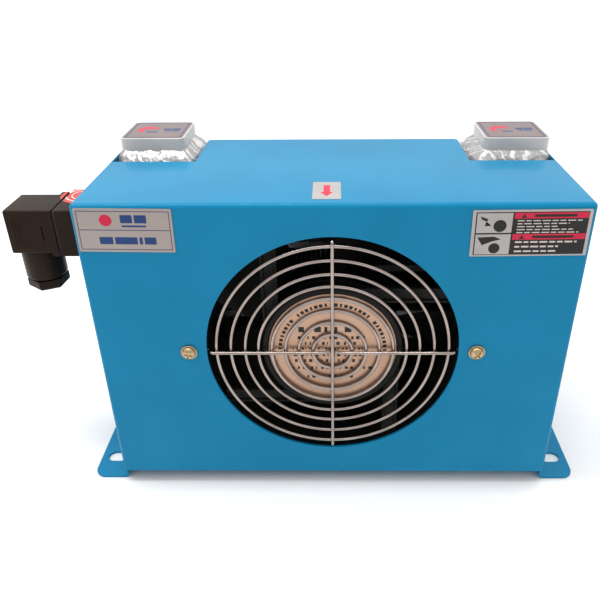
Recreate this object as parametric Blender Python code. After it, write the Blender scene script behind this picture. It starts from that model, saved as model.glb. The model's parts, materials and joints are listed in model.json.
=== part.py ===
"""Air-blast hydraulic oil cooler.

A folded sheet-metal housing carries a brazed aluminium core at its back, a 172 x 150 x 51 mm
axial fan at its front, a wire finger guard and a square cable connector on its left wall.

Every piece is designed in housing coordinates: X = 0 is the mid-plane of the housing, Y = 0 the
outer face of its front panel and Z = 0 the underside of its feet. One empty carries them all and
shifts them so that the world origin lies at the bottom centre of the whole object.
"""

import math

import bmesh
import bpy

MM = 0.001
GAP = 0.3 * MM  # clearance between pieces that touch

# Housing: front, top and side walls folded from one sheet
SHEET = 1.5 * MM
BEND = 2.5 * MM
FOOT_BEND = 2.0 * MM
HALF_WIDTH = 132.7 * MM
TOP = 189.2 * MM
DEPTH = 113.5 * MM
PANEL_BOTTOM = 9.2 * MM
FAN_HOLE_R = 71.0 * MM
FAN_Z = 100.2 * MM
FAN_SCREW_X = 81.0 * MM
NOTCH_X = 80.9 * MM
NOTCH_Y = 68.4 * MM

# Feet, folded outwards from the side walls
FOOT_HALF_SPAN = 153.9 * MM
FOOT_FRONT = 3.0 * MM
FOOT_CORNER_R = 7.0 * MM
SLOT_X = 143.2 * MM
SLOT_Y = 20.6 * MM
SLOT_LENGTH = 13.0 * MM
SLOT_WIDTH = 8.6 * MM

# Core
CORE_FRONT = 74.0 * MM
CORE_BACK = 126.0 * MM
CORE_BOTTOM = 11.5 * MM
CORE_TOP = 183.5 * MM
TANK_INNER_X = 81.0 * MM
TANK_WALL = 4.0 * MM
TANK_SIDE_BAR = 9.0 * MM
PLATE = 2.0 * MM
TUBES = 9
TUBE_HEIGHT = 4.0 * MM
TUBE_WALL = 0.8 * MM
FIN_SHEET = 0.5 * MM
FIN_FOLDS = 13
CORE_BOLT_Y = 100.0 * MM
CORE_BOLT_Z = (42.0 * MM, 152.0 * MM)
CORE_BOLT_R = 3.0 * MM

# Ports, welded on the tanks
PORT_CENTRES = {-1: (-109.1 * MM, 100.2 * MM), 1: (110.7 * MM, 98.4 * MM)}
PORT_HALF_X = 19.4 * MM
PORT_HALF_Y = 19.0 * MM
PORT_TOP = 199.5 * MM
PORT_CORNER_R = 3.5 * MM
PORT_BORE_R = 12.15 * MM
WELD_HEIGHT = 8.6 * MM
WELD_LEG = 6.8 * MM
WELD_LEG_FRONT = {-1: 6.8 * MM, 1: 5.2 * MM}
WELD_LEG_INWARD = 8.5 * MM
WELD_LEG_OUTWARD = {-1: 1.7 * MM, 1: 0.4 * MM}

# Fan: its own distances run back from its front face
FAN_FRONT = SHEET + GAP
FAN_DEPTH = 51.0 * MM
FRAME_R = 86.0 * MM
FRAME_HALF_HEIGHT = 75.0 * MM
WAIST_R = 74.8 * MM
DUCT_R = 72.5 * MM
FLANGE = 5.0 * MM
HUB_R = 39.8 * MM
HUB_FACE = 1.5 * MM
HUB_FLOOR = 4.0 * MM
HUB_BACK = 6.0 * MM
DISC_R = 36.2 * MM
STRUT_OFFSET = 34.2 * MM
STRUT_WIDTH = 9.0 * MM
STRUT_SPAN = (4.0 * MM, 64.0 * MM)
BEARING_TUBE_R = 9.2 * MM
BEARING_TUBE_END = 36.0 * MM
BEARING_R = 6.5 * MM
BEARING_WIDTH = 4.0 * MM
SHAFT_R = 2.5 * MM
STATOR_R = 27.0 * MM
STATOR_SPAN = (13.0 * MM, 31.0 * MM)
CUP_R = 37.0 * MM
CUP_SPAN = (10.0 * MM, 40.0 * MM)
CUP_BACK_WALL = 3.0 * MM
BLADES = 5
BLADE_TIP_R = 70.5 * MM
BLADE_SPAN = (13.0 * MM, 46.5 * MM)

# Finger guard
WIRE_R = 1.0 * MM
GUARD_RADII = [radius * MM for radius in (65.4, 57.3, 49.2, 41.8, 34.3, 26.6, 19.0, 11.1)]
GUARD_Y = 0.6 * MM
CROSS_WIRE_Y = -1.2 * MM
GUARD_LEG_R = 68.6 * MM
GUARD_FOOT_R = 74.0 * MM
GUARD_FOOT_Y = 3.1 * MM

# Fan screws and washers
SCREW_R = 1.85 * MM
SCREW_HEAD_R = 3.9 * MM
SCREW_HEAD = 2.5 * MM
SCREW_LENGTH = 14.0 * MM
WASHER_R = 4.6 * MM
WASHER = 0.9 * MM
SCREW_HEAD_Y = -2 * GAP - WASHER

# Connector on the left wall: square in section, seen along X
CONNECTOR_FRONT = 28.0 * MM
CONNECTOR_TOP = 174.5 * MM
BASE_BACK = 62.0 * MM
BASE_BOTTOM = 146.3 * MM
BASE_X = -HALF_WIDTH - GAP
SEAM_X = -153.7 * MM
SEAL = 0.8 * MM
PLUG_X = SEAM_X - SEAL - 2 * GAP
PLUG_END_X = -182.2 * MM
PLUG_BACK = 54.3 * MM
PLUG_BOTTOM = 148.3 * MM
COLLAR_BACK = 58.5 * MM
COLLAR_LENGTH = 4.4 * MM
PLUG_Y = (CONNECTOR_FRONT + PLUG_BACK) / 2
PLUG_Z = (CONNECTOR_TOP + PLUG_BOTTOM) / 2
PLUG_WALL = 3.2 * MM
PLUG_CAVITY_END = -172.0 * MM
PIN_SLOT = (1.4 * MM, 6.9 * MM)
PIN_SIZE = (0.8 * MM, 6.3 * MM)
PIN_OFFSET = 6.2 * MM
PIN_SPAN = (-166.0 * MM, -140.0 * MM)
FIXING_SCREW_R = 1.5 * MM
FIXING_HEAD_R = 3.2 * MM
FIXING_HEAD = 2.7 * MM
COUNTERBORE = 1.7 * MM
GLAND_X = -171.1 * MM
NECK_R = 11.6 * MM
NECK_BOTTOM = 129.2 * MM
NECK_BORE_R = 9.0 * MM
CABLE_BORE_R = 6.0 * MM
GLAND_NUT_BOTTOM = 122.3 * MM
GLAND_NUT_R = 11.8 * MM
GLAND_NUT_TURN = math.radians(25)
GLAND_NUT_BORE_R = 5.0 * MM
GLAND_SPIGOT_TOP = 135.0 * MM
GLAND_SEAL_TOP = 142.0 * MM
NECK_SHOULDER = 142.5 * MM

# Lead from the fan to the connector
LEAD_R = 2.6 * MM
LEAD_HOLE_R = 5.0 * MM
LEAD_HOLE_YZ = (43.0 * MM, 162.0 * MM)

# Labels on the front panel
LABEL = 0.3 * MM
NAMEPLATE_BOX = (-130.6 * MM, -80.8 * MM, 163.2 * MM, 187.2 * MM)
WARNING_BOX = (70.4 * MM, 130.5 * MM, 160.4 * MM, 187.2 * MM)

FIXING_HEAD_END_X = PLUG_END_X + COUNTERBORE - FIXING_HEAD
WORLD_SHIFT = (
    -(FIXING_HEAD_END_X + FOOT_HALF_SPAN) / 2,
    -(CORE_BACK + SCREW_HEAD_Y - SCREW_HEAD) / 2,
    0,
)

ALONG_Y = (-math.pi / 2, 0, 0)  # turns a piece's own +Z to +Y
ALONG_MINUS_X = (0, -math.pi / 2, 0)  # turns a piece's own +Z to -X

PAINTS = {
    "blue_powder_coat": ((0.025, 0.25, 0.46), 0.38, 0.0),
    "core_aluminium": ((0.55, 0.56, 0.57), 0.42, 1.0),
    "weld_aluminium": ((0.72, 0.72, 0.72), 0.28, 1.0),
    "fan_black": ((0.012, 0.012, 0.013), 0.45, 0.0),
    "label_foil": ((0.62, 0.55, 0.51), 0.35, 0.8),
    "steel": ((0.48, 0.48, 0.48), 0.35, 1.0),
    "copper_winding": ((0.62, 0.24, 0.10), 0.4, 1.0),
    "chrome_wire": ((0.75, 0.74, 0.73), 0.15, 1.0),
    "yellow_zinc": ((0.70, 0.50, 0.20), 0.35, 1.0),
    "warning_film": ((0.05, 0.05, 0.05), 0.4, 0.0),
    "black_polyamide": ((0.022, 0.018, 0.015), 0.5, 0.0),
    "black_rubber": ((0.01, 0.01, 0.01), 0.7, 0.0),
    "brass_contact": ((0.70, 0.52, 0.22), 0.3, 1.0),
    "cable_sheath": ((0.02, 0.02, 0.02), 0.55, 0.0),
}


def clear_scene():
    for obj in list(bpy.data.objects):
        bpy.data.objects.remove(obj, do_unlink=True)


def make_material(name, colour, roughness, metallic):
    material = bpy.data.materials.new(name)
    material.use_nodes = True
    shader = material.node_tree.nodes["Principled BSDF"]
    shader.inputs["Base Color"].default_value = (*colour, 1)
    shader.inputs["Roughness"].default_value = roughness
    shader.inputs["Metallic"].default_value = metallic
    return material


clear_scene()
MATERIALS = {name: make_material(name, *values) for name, values in PAINTS.items()}
HOUSING_FRAME = bpy.data.objects.new("housing_frame", None)
HOUSING_FRAME.location = WORLD_SHIFT
bpy.context.scene.collection.objects.link(HOUSING_FRAME)


# Outlines: lists of points in a plane, anticlockwise


def rectangle(low_u, high_u, low_v, high_v):
    return [(low_u, low_v), (high_u, low_v), (high_u, high_v), (low_u, high_v)]


def arc(centre, radius, start_deg, end_deg, steps):
    angles = [math.radians(start_deg + (end_deg - start_deg) * i / steps) for i in range(steps + 1)]
    return [(centre[0] + radius * math.cos(a), centre[1] + radius * math.sin(a)) for a in angles]


def rounded_rectangle(low_u, high_u, low_v, high_v, radius, steps=3):
    corners = (
        ((high_u - radius, high_v - radius), 0),
        ((low_u + radius, high_v - radius), 90),
        ((low_u + radius, low_v + radius), 180),
        ((high_u - radius, low_v + radius), 270),
    )
    points = []
    for centre, start in corners:
        points += arc(centre, radius, start, start + 90, steps)
    return points


def circle(radius, steps, centre=(0, 0)):
    return arc(centre, radius, 0, 360, steps)[:-1]


def slot_outline(centre, length, width, steps=6):
    reach = (length - width) / 2
    right = arc((centre[0] + reach, centre[1]), width / 2, -90, 90, steps)
    return right + arc((centre[0] - reach, centre[1]), width / 2, 90, 270, steps)


# Solids, added to a bmesh


def lift(outline, axis, along):
    """The outline's points in space, in the plane that crosses the axis at a distance."""
    if axis == "X":
        return [(along, u, v) for u, v in outline]
    if axis == "Y":
        return [(u, along, v) for u, v in outline]
    return [(u, v, along) for u, v in outline]


def loft(bm, loops, ring=False):
    """Joins each loop of points to the next. A ring's last loop meets its first; others get caps."""
    rows = [[bm.verts.new(point) for point in loop] for loop in loops]
    pairs = list(zip(rows, rows[1:]))
    if ring:
        pairs.append((rows[-1], rows[0]))
    else:
        bm.faces.new(rows[0])
        bm.faces.new(rows[-1])
    for row, following in pairs:
        for i in range(len(row)):
            j = (i + 1) % len(row)
            bm.faces.new((row[i], row[j], following[j], following[i]))


def prism(bm, outline, axis, low, high):
    loft(bm, [lift(outline, axis, low), lift(outline, axis, high)])


def pipe(bm, outer, inner, axis, low, high):
    """A prism with a hole through it; both outlines have the same number of points."""
    levels = ((outer, low), (outer, high), (inner, high), (inner, low))
    loft(bm, [lift(outline, axis, along) for outline, along in levels], ring=True)


def turned(bm, profile, steps, ring=False):
    """Revolves (radius, height) points round Z. A profile that isn't a ring ends in flat caps."""
    loft(bm, [lift(circle(radius, steps), "Z", height) for radius, height in profile], ring)


def block(bm, low, high):
    prism(bm, rectangle(low[0], high[0], low[1], high[1]), "Z", low[2], high[2])


def rod_along(bm, path, radius, side_direction, sides):
    """A round bar along points in one plane; side_direction is the plane's normal."""
    loops = []
    for i, point in enumerate(path):
        before = path[max(i - 1, 0)]
        after = path[min(i + 1, len(path) - 1)]
        heading = [b - a for a, b in zip(before, after)]
        length = math.sqrt(sum(value * value for value in heading))
        heading = [value / length for value in heading]
        up = cross(heading, side_direction)
        section = circle(radius, sides)
        loops.append([offset_point(point, up, side_direction, u, v) for u, v in section])
    loft(bm, loops)


def offset_point(point, first, second, u, v):
    """The point moved u along the first direction and v along the second."""
    return tuple(p + u * a + v * b for p, a, b in zip(point, first, second))


def cross(a, b):
    return (a[1] * b[2] - a[2] * b[1], a[2] * b[0] - a[0] * b[2], a[0] * b[1] - a[1] * b[0])


# Objects


def add_object(name, bm, material, location=(0, 0, 0), rotation=(0, 0, 0)):
    if bm.faces:
        bmesh.ops.recalc_face_normals(bm, faces=bm.faces)
    mesh = bpy.data.meshes.new(name)
    bm.to_mesh(mesh)
    bm.free()
    mesh.shade_smooth()
    mesh.set_sharp_from_angle(angle=math.radians(35))
    return add_copy(name, mesh, material, location, rotation)


def add_copy(name, mesh, material, location=(0, 0, 0), rotation=(0, 0, 0)):
    """Another object that shares a mesh."""
    obj = bpy.data.objects.new(name, mesh)
    if not mesh.materials:
        mesh.materials.append(MATERIALS[material])
    obj.parent = HOUSING_FRAME
    obj.location = location
    obj.rotation_euler = rotation
    bpy.context.scene.collection.objects.link(obj)
    return obj


def combine(obj, helper, operation):
    """A Boolean with a helper object that isn't part of the cooler."""
    helper.hide_render = True
    helper.display_type = "WIRE"
    modifier = obj.modifiers.new(operation.lower(), "BOOLEAN")
    modifier.operation = operation
    modifier.solver = "EXACT"
    modifier.object = helper


# Housing


def fold_sheet():
    """The outer faces of the housing, with rounded folds and feet."""
    bm = bmesh.new()
    foot_top = SHEET
    corners = {}
    for side in (-1, 1):
        wall = side * HALF_WIDTH
        corners[side] = {
            "front_low": bm.verts.new((wall, 0, PANEL_BOTTOM)),
            "front_high": bm.verts.new((wall, 0, TOP)),
            "back_high": bm.verts.new((wall, DEPTH, TOP)),
            "back_low": bm.verts.new((wall, DEPTH, foot_top)),
            "foot_fold": bm.verts.new((wall, FOOT_FRONT, foot_top)),
            "step": bm.verts.new((wall, FOOT_FRONT, PANEL_BOTTOM)),
            "foot_back": bm.verts.new((side * FOOT_HALF_SPAN, DEPTH, foot_top)),
            "foot_front": bm.verts.new((side * FOOT_HALF_SPAN, FOOT_FRONT, foot_top)),
        }
    left, right = corners[-1], corners[1]
    bm.faces.new((left["front_low"], right["front_low"], right["front_high"], left["front_high"]))
    bm.faces.new((left["front_high"], right["front_high"], right["back_high"], left["back_high"]))
    order = ("front_low", "front_high", "back_high", "back_low", "foot_fold", "step")
    for corner, turn in ((left, 1), (right, -1)):
        bm.faces.new([corner[key] for key in order][::turn])
        foot = (corner["foot_fold"], corner["back_low"], corner["foot_back"], corner["foot_front"])
        bm.faces.new(foot[::turn])

    def edge(a, b):
        return bm.edges.get((a, b))

    housing_folds = [edge(left["front_high"], right["front_high"])]
    foot_folds = []
    for corner in (left, right):
        housing_folds.append(edge(corner["front_low"], corner["front_high"]))
        housing_folds.append(edge(corner["front_high"], corner["back_high"]))
        foot_folds.append(edge(corner["foot_fold"], corner["back_low"]))
    foot_corners = [corner[key] for corner in (left, right) for key in ("foot_back", "foot_front")]
    bevel = {"offset_type": "OFFSET", "profile": 0.5, "clamp_overlap": False}
    bevel["geom"] = foot_corners
    bmesh.ops.bevel(bm, offset=FOOT_CORNER_R, segments=4, affect="VERTICES", **bevel)
    bevel["geom"] = housing_folds
    bmesh.ops.bevel(bm, offset=BEND, segments=3, affect="EDGES", **bevel)
    bevel["geom"] = foot_folds
    bmesh.ops.bevel(bm, offset=FOOT_BEND, segments=3, affect="EDGES", **bevel)
    return bm


def notch_outline(side):
    """A corner cut-out of the top panel, in X and Y, with the panel's own corner rounded."""
    wall = HALF_WIDTH - SHEET - 0.2 * MM
    corner_r = 3.0 * MM
    nick = 1.0 * MM
    points = [
        (wall, NOTCH_Y),
        (wall, DEPTH + 4 * MM),
        (NOTCH_X - corner_r, DEPTH + 4 * MM),
    ]
    points += arc((NOTCH_X - corner_r, DEPTH - corner_r), corner_r, 90, 0, 4)
    points += [(NOTCH_X, NOTCH_Y + nick), (NOTCH_X + nick, NOTCH_Y)]
    return [(side * x, y) for x, y in points]


def housing_cutter():
    bm = bmesh.new()
    prism(bm, circle(FAN_HOLE_R, 64, (0, FAN_Z)), "Y", -5 * MM, 5 * MM)
    for side in (-1, 1):
        prism(bm, circle(SCREW_R + 0.5 * MM, 12, (side * FAN_SCREW_X, FAN_Z)), "Y", -5 * MM, 5 * MM)
        prism(bm, notch_outline(side), "Z", TOP - 8 * MM, TOP + 5 * MM)
        for y in (SLOT_Y, DEPTH + FOOT_FRONT - SLOT_Y):
            outline = slot_outline((side * SLOT_X, y), SLOT_LENGTH, SLOT_WIDTH)
            prism(bm, outline, "Z", -3 * MM, SHEET + 1 * MM)
        for z in CORE_BOLT_Z:
            outline = circle(CORE_BOLT_R + GAP, 12, (CORE_BOLT_Y, z))
            prism(bm, outline, "X", side * (HALF_WIDTH - 4 * MM), side * (HALF_WIDTH + 4 * MM))
    lead_hole = circle(LEAD_HOLE_R, 16, LEAD_HOLE_YZ)
    prism(bm, lead_hole, "X", -HALF_WIDTH - 4 * MM, -HALF_WIDTH + 4 * MM)
    return add_object("housing_cutter", bm, "blue_powder_coat")


def build_housing():
    housing = add_object("housing_shroud", fold_sheet(), "blue_powder_coat")
    thickness = housing.modifiers.new("sheet thickness", "SOLIDIFY")
    thickness.thickness = SHEET
    thickness.offset = -1
    thickness.use_even_offset = True
    combine(housing, housing_cutter(), "DIFFERENCE")


def build_bottom_tray():
    """Closes the duct below the fan: a tray with a flange up the front and each side."""
    inner = HALF_WIDTH - SHEET - GAP
    front = SHEET + GAP
    back = CORE_FRONT - GAP
    low = PANEL_BOTTOM + 0.6 * MM
    high = low + 12 * MM
    clear = 1.2 * MM
    bm = bmesh.new()
    within = inner - SHEET
    floor = low + SHEET
    profile = [(-inner, high), (-inner, low), (inner, low), (inner, high)]
    profile += [(within, high), (within, floor), (-within, floor), (-within, high)]
    prism(bm, profile, "Y", front + clear, back)
    tray = add_object("bottom_tray", bm, "blue_powder_coat")
    flange = bmesh.new()
    block(flange, (clear - inner, front, low), (inner - clear, front + clear + SHEET, high))
    combine(tray, add_object("tray_front_flange", flange, "blue_powder_coat"), "UNION")


# Core


def fin_height():
    stack = CORE_TOP - CORE_BOTTOM - 2 * (PLATE + GAP) - TUBES * (TUBE_HEIGHT + 2 * GAP)
    return stack / (TUBES + 1)


def tube_centre(index):
    pitch = fin_height() + TUBE_HEIGHT + 2 * GAP
    return CORE_BOTTOM + PLATE + GAP + fin_height() + GAP + TUBE_HEIGHT / 2 + index * pitch


def build_tank(name, side):
    """A header tank, hollow, with a port hole on top and a slot for each oil tube."""
    outer_x = HALF_WIDTH - SHEET - GAP
    spans = sorted((side * TANK_INNER_X, side * outer_x))
    bm = bmesh.new()
    block(bm, (spans[0], CORE_FRONT, CORE_BOTTOM), (spans[1], CORE_BACK, CORE_TOP))
    tank = add_object(name, bm, "core_aluminium")
    hollow = bmesh.new()
    spans = sorted((side * (TANK_INNER_X + TANK_WALL), side * (outer_x - TANK_SIDE_BAR)))
    block(
        hollow,
        (spans[0], CORE_FRONT + TANK_WALL, CORE_BOTTOM + TANK_WALL),
        (spans[1], CORE_BACK - TANK_WALL, CORE_TOP - TANK_WALL),
    )
    combine(tank, add_object(name + "_hollow", hollow, "core_aluminium"), "DIFFERENCE")
    ways = bmesh.new()
    port = circle(PORT_BORE_R, 24, PORT_CENTRES[side])
    prism(ways, port, "Z", CORE_TOP - TANK_WALL - 1 * MM, CORE_TOP + 1 * MM)
    for index in range(TUBES):
        height = TUBE_HEIGHT / 2 - TUBE_WALL
        middle = tube_centre(index)
        spans = sorted((side * (TANK_INNER_X - 1 * MM), side * (TANK_INNER_X + TANK_WALL + 1 * MM)))
        block(
            ways,
            (spans[0], CORE_FRONT + TANK_WALL, middle - height),
            (spans[1], CORE_BACK - TANK_WALL, middle + height),
        )
    for z in CORE_BOLT_Z:
        outline = circle(CORE_BOLT_R + GAP, 12, (CORE_BOLT_Y, z))
        prism(ways, outline, "X", side * (outer_x - TANK_SIDE_BAR + 2 * MM), side * (outer_x + 1 * MM))
    combine(tank, add_object(name + "_ways", ways, "core_aluminium"), "DIFFERENCE")


def port_outline(spread):
    half_x = PORT_HALF_X + spread
    half_y = PORT_HALF_Y + spread
    return rounded_rectangle(-half_x, half_x, -half_y, half_y, PORT_CORNER_R + spread)


def build_port(side, name):
    low = CORE_TOP + GAP
    bm = bmesh.new()
    outline = port_outline(0)
    edge = 0.8 * MM
    narrow = port_outline(-edge)
    levels = ((outline, 0), (outline, PORT_TOP - low - edge), (narrow, PORT_TOP - low))
    loft(bm, [lift(points, "Z", height) for points, height in levels])
    place = (*PORT_CENTRES[side], low)
    port = add_object(name, bm, "core_aluminium", place)
    bore = bmesh.new()
    prism(bore, circle(PORT_BORE_R, 24), "Z", -2 * MM, PORT_TOP - low + 2 * MM)
    cutter = add_object(name + "_bore", bore, "core_aluminium", place)
    combine(port, cutter, "DIFFERENCE")


def weld_outline(side, spread):
    """The bead's edge in X and Y; spread runs from 0 at the port to 1 at the toe."""
    clear = GAP + 0.6 * MM * min(spread, 1)
    reach = spread * WELD_LEG + clear
    inward = spread * WELD_LEG_INWARD + clear
    outward = max(spread * WELD_LEG_OUTWARD[side], 0.15 * MM) + GAP
    legs = {1: (inward, outward), -1: (outward, inward)}[side]
    return rounded_rectangle(
        -PORT_HALF_X - legs[0],
        PORT_HALF_X + legs[1],
        -PORT_HALF_Y - min(reach, WELD_LEG_FRONT[side]),
        PORT_HALF_Y + min(reach, WELD_LEG),
        PORT_CORNER_R + 0.4 * min(reach, WELD_LEG),
    )


def build_weld(side, name):
    """The fillet weld round a port, from the port's side to the tank's top."""
    bm = bmesh.new()
    inner = port_outline(GAP)
    levels = [(inner, 0), (weld_outline(side, 1.0), 0)]
    levels.append((weld_outline(side, 0.9), 0.22 * WELD_HEIGHT))
    levels.append((weld_outline(side, 0.55), 0.62 * WELD_HEIGHT))
    levels.append((weld_outline(side, 0.1), WELD_HEIGHT))
    levels.append((inner, WELD_HEIGHT))
    loft(bm, [lift(points, "Z", height) for points, height in levels], ring=True)
    add_object(name, bm, "weld_aluminium", (*PORT_CENTRES[side], CORE_TOP + GAP))


def build_plates():
    reach = TANK_INNER_X - GAP
    for name, low in (("core_bottom_plate", CORE_BOTTOM), ("core_top_plate", CORE_TOP - PLATE)):
        bm = bmesh.new()
        block(bm, (-reach, CORE_FRONT, low), (reach, CORE_BACK, low + PLATE))
        add_object(name, bm, "core_aluminium")


def build_tubes():
    """Flat oil tubes, open at both ends, each between two layers of fins."""
    reach = TANK_INNER_X - GAP
    half = TUBE_HEIGHT / 2
    half_depth = (CORE_BACK - CORE_FRONT) / 2
    bm = bmesh.new()
    outer = rectangle(-half_depth, half_depth, -half, half)
    bore = half_depth - TANK_WALL
    pipe(bm, outer, rectangle(-bore, bore, TUBE_WALL - half, half - TUBE_WALL), "X", -reach, reach)
    middle = (CORE_FRONT + CORE_BACK) / 2
    tube = add_object("oil_tube_1", bm, "core_aluminium", (0, middle, tube_centre(0)))
    for index in range(1, TUBES):
        place = (0, middle, tube_centre(index))
        add_copy(f"oil_tube_{index + 1}", tube.data, "core_aluminium", place)


def fin_wave(height):
    """One folded strip as a closed outline in X and Z: along its underside, then back on top."""
    reach = TANK_INNER_X - GAP - 1 * MM
    folds = 2 * FIN_FOLDS
    above, below = [], []
    for i in range(folds + 1):
        x = -reach + 2 * reach * i / folds
        crest = i % 2 == 1
        above.append((x, height / 2 if crest else FIN_SHEET * 2 - height / 2))
        below.append((x, height / 2 - FIN_SHEET * 2 if crest else -height / 2))
    return below + above[::-1]


def build_fins():
    bm = bmesh.new()
    half_depth = (CORE_BACK - CORE_FRONT) / 2
    prism(bm, fin_wave(fin_height()), "Y", -half_depth, half_depth)
    middle = (CORE_FRONT + CORE_BACK) / 2
    offset = TUBE_HEIGHT / 2 + GAP + fin_height() / 2
    fin = add_object("air_fin_1", bm, "core_aluminium", (0, middle, tube_centre(0) - offset))
    for index in range(TUBES):
        place = (0, middle, tube_centre(index) + offset)
        add_copy(f"air_fin_{index + 2}", fin.data, "core_aluminium", place)


def build_core_bolts():
    """Flanged hexagon bolts through the side walls into the tanks."""
    bm = bmesh.new()
    turned(bm, [(CORE_BOLT_R, -SHEET - 6 * MM), (CORE_BOLT_R, 0.4 * MM)], 12)
    shank = add_object("core_bolt_shank", bm, "steel")
    head = bmesh.new()
    turned(head, [(7.0 * MM, 0), (7.0 * MM, 1.0 * MM), (5.5 * MM, 1.6 * MM)], 18)
    hexagon = bmesh.new()
    turned(hexagon, [(5.77 * MM, 1.2 * MM), (5.77 * MM, 5.6 * MM), (4.9 * MM, 6.2 * MM)], 6)
    flange = add_object("core_bolt_flange", head, "steel")
    top = add_object("core_bolt_hexagon", hexagon, "steel")
    combine(flange, top, "UNION")
    combine(flange, shank, "UNION")
    flange.hide_render = True
    mesh = evaluated_mesh(flange, "core_bolt")
    for end, side in (("left", -1), ("right", 1)):
        for label, z in zip(("lower", "upper"), CORE_BOLT_Z):
            location = (side * (HALF_WIDTH + GAP), CORE_BOLT_Y, z)
            name = f"core_bolt_{end}_{label}"
            add_copy(name, mesh, "steel", location, (0, side * math.pi / 2, 0))


def evaluated_mesh(obj, name):
    """The object's mesh with its modifiers applied, for pieces that share it."""
    bpy.context.view_layer.update()
    graph = bpy.context.evaluated_depsgraph_get()
    mesh = bpy.data.meshes.new_from_object(obj.evaluated_get(graph))
    mesh.name = name
    obj.modifiers.clear()
    return mesh


# Fan: each piece's own +Z is the fan's axis, measured back from the fan's front face


def add_fan_piece(name, bm, material):
    return add_object(name, bm, material, (0, FAN_FRONT, FAN_Z), ALONG_Y)


def frame_outline(radius, steps=72):
    """A circle whose top and bottom are cut flat; the fan's vertical is its own Y."""
    points = []
    for i in range(steps):
        angle = 2 * math.pi * (i + 0.5) / steps
        reach = min(radius, FRAME_HALF_HEIGHT / max(abs(math.sin(angle)), 1e-6))
        points.append((reach * math.cos(angle), reach * math.sin(angle)))
    return points


def build_fan_frame():
    bm = bmesh.new()
    waist = frame_outline(WAIST_R)
    duct = frame_outline(DUCT_R)
    flange = frame_outline(FRAME_R)
    levels = (
        (duct, 0),
        (flange, 0),
        (flange, FLANGE),
        (waist, FLANGE),
        (waist, FAN_DEPTH - FLANGE),
        (flange, FAN_DEPTH - FLANGE),
        (flange, FAN_DEPTH),
        (duct, FAN_DEPTH),
    )
    loft(bm, [lift(points, "Z", along) for points, along in levels], ring=True)
    frame = add_fan_piece("fan_frame", bm, "fan_black")
    combine(frame, fan_hub(), "UNION")
    combine(frame, fan_struts(), "UNION")
    combine(frame, fan_frame_cutter(), "DIFFERENCE")


def fan_hub():
    """The round motor base with a recess for its label and a blind tube for the bearings."""
    bm = bmesh.new()
    label_r = DISC_R + GAP
    lip_r = HUB_R - 1.2 * MM
    bore_r = BEARING_R + GAP
    profile = [
        (label_r, HUB_FACE),
        (label_r, 0),
        (HUB_R, 0),
        (HUB_R, HUB_BACK + 3 * MM),
        (lip_r, HUB_BACK + 3 * MM),
        (lip_r, HUB_BACK),
        (BEARING_TUBE_R, HUB_BACK),
        (BEARING_TUBE_R, BEARING_TUBE_END),
        (bore_r, BEARING_TUBE_END),
        (bore_r, HUB_FLOOR),
    ]
    turned(bm, profile, 40)
    return add_fan_piece("fan_hub", bm, "fan_black")


def fan_struts():
    """Four bars set like a pinwheel between the hub and the duct."""
    bm = bmesh.new()
    low = STRUT_OFFSET - STRUT_WIDTH / 2
    high = STRUT_OFFSET + STRUT_WIDTH / 2
    start, end = STRUT_SPAN
    for quarter in range(4):
        angle = math.radians(90 * quarter)
        cos, sin = math.cos(angle), math.sin(angle)
        corners = rectangle(start, end, low, high)
        outline = [(x * cos + y * sin, x * sin - y * cos) for x, y in corners]
        prism(bm, outline, "Z", HUB_FACE + GAP, FLANGE - 0.2 * MM)
    return add_fan_piece("fan_struts", bm, "fan_black")


def fan_frame_cutter():
    """Screw holes, and notches that take the feet of the finger guard."""
    bm = bmesh.new()
    for side in (-1, 1):
        hole = circle(SCREW_R + GAP, 12, (side * FAN_SCREW_X, 0))
        prism(bm, hole, "Z", -1 * MM, FLANGE + 1 * MM)
    for quarter in range(4):
        angle = math.radians(90 * quarter)
        cos, sin = math.cos(angle), math.sin(angle)
        corners = rectangle(DUCT_R - 2 * MM, GUARD_FOOT_R + 0.4 * MM, -1.5 * MM, 1.5 * MM)
        outline = [(x * cos - y * sin, x * sin + y * cos) for x, y in corners]
        prism(bm, outline, "Z", -1 * MM, 3.0 * MM)
    return add_fan_piece("fan_frame_cutter", bm, "fan_black")


def build_fan_disc():
    bm = bmesh.new()
    back = HUB_FACE - GAP
    rim_r = DISC_R - 1.6 * MM
    profile = [(DISC_R, back), (DISC_R, 0.6 * MM), (rim_r, 0.4 * MM), (rim_r - 0.8 * MM, 0.6 * MM)]
    turned(bm, profile, 40)
    add_fan_piece("fan_hub_disc", bm, "label_foil")


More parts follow.
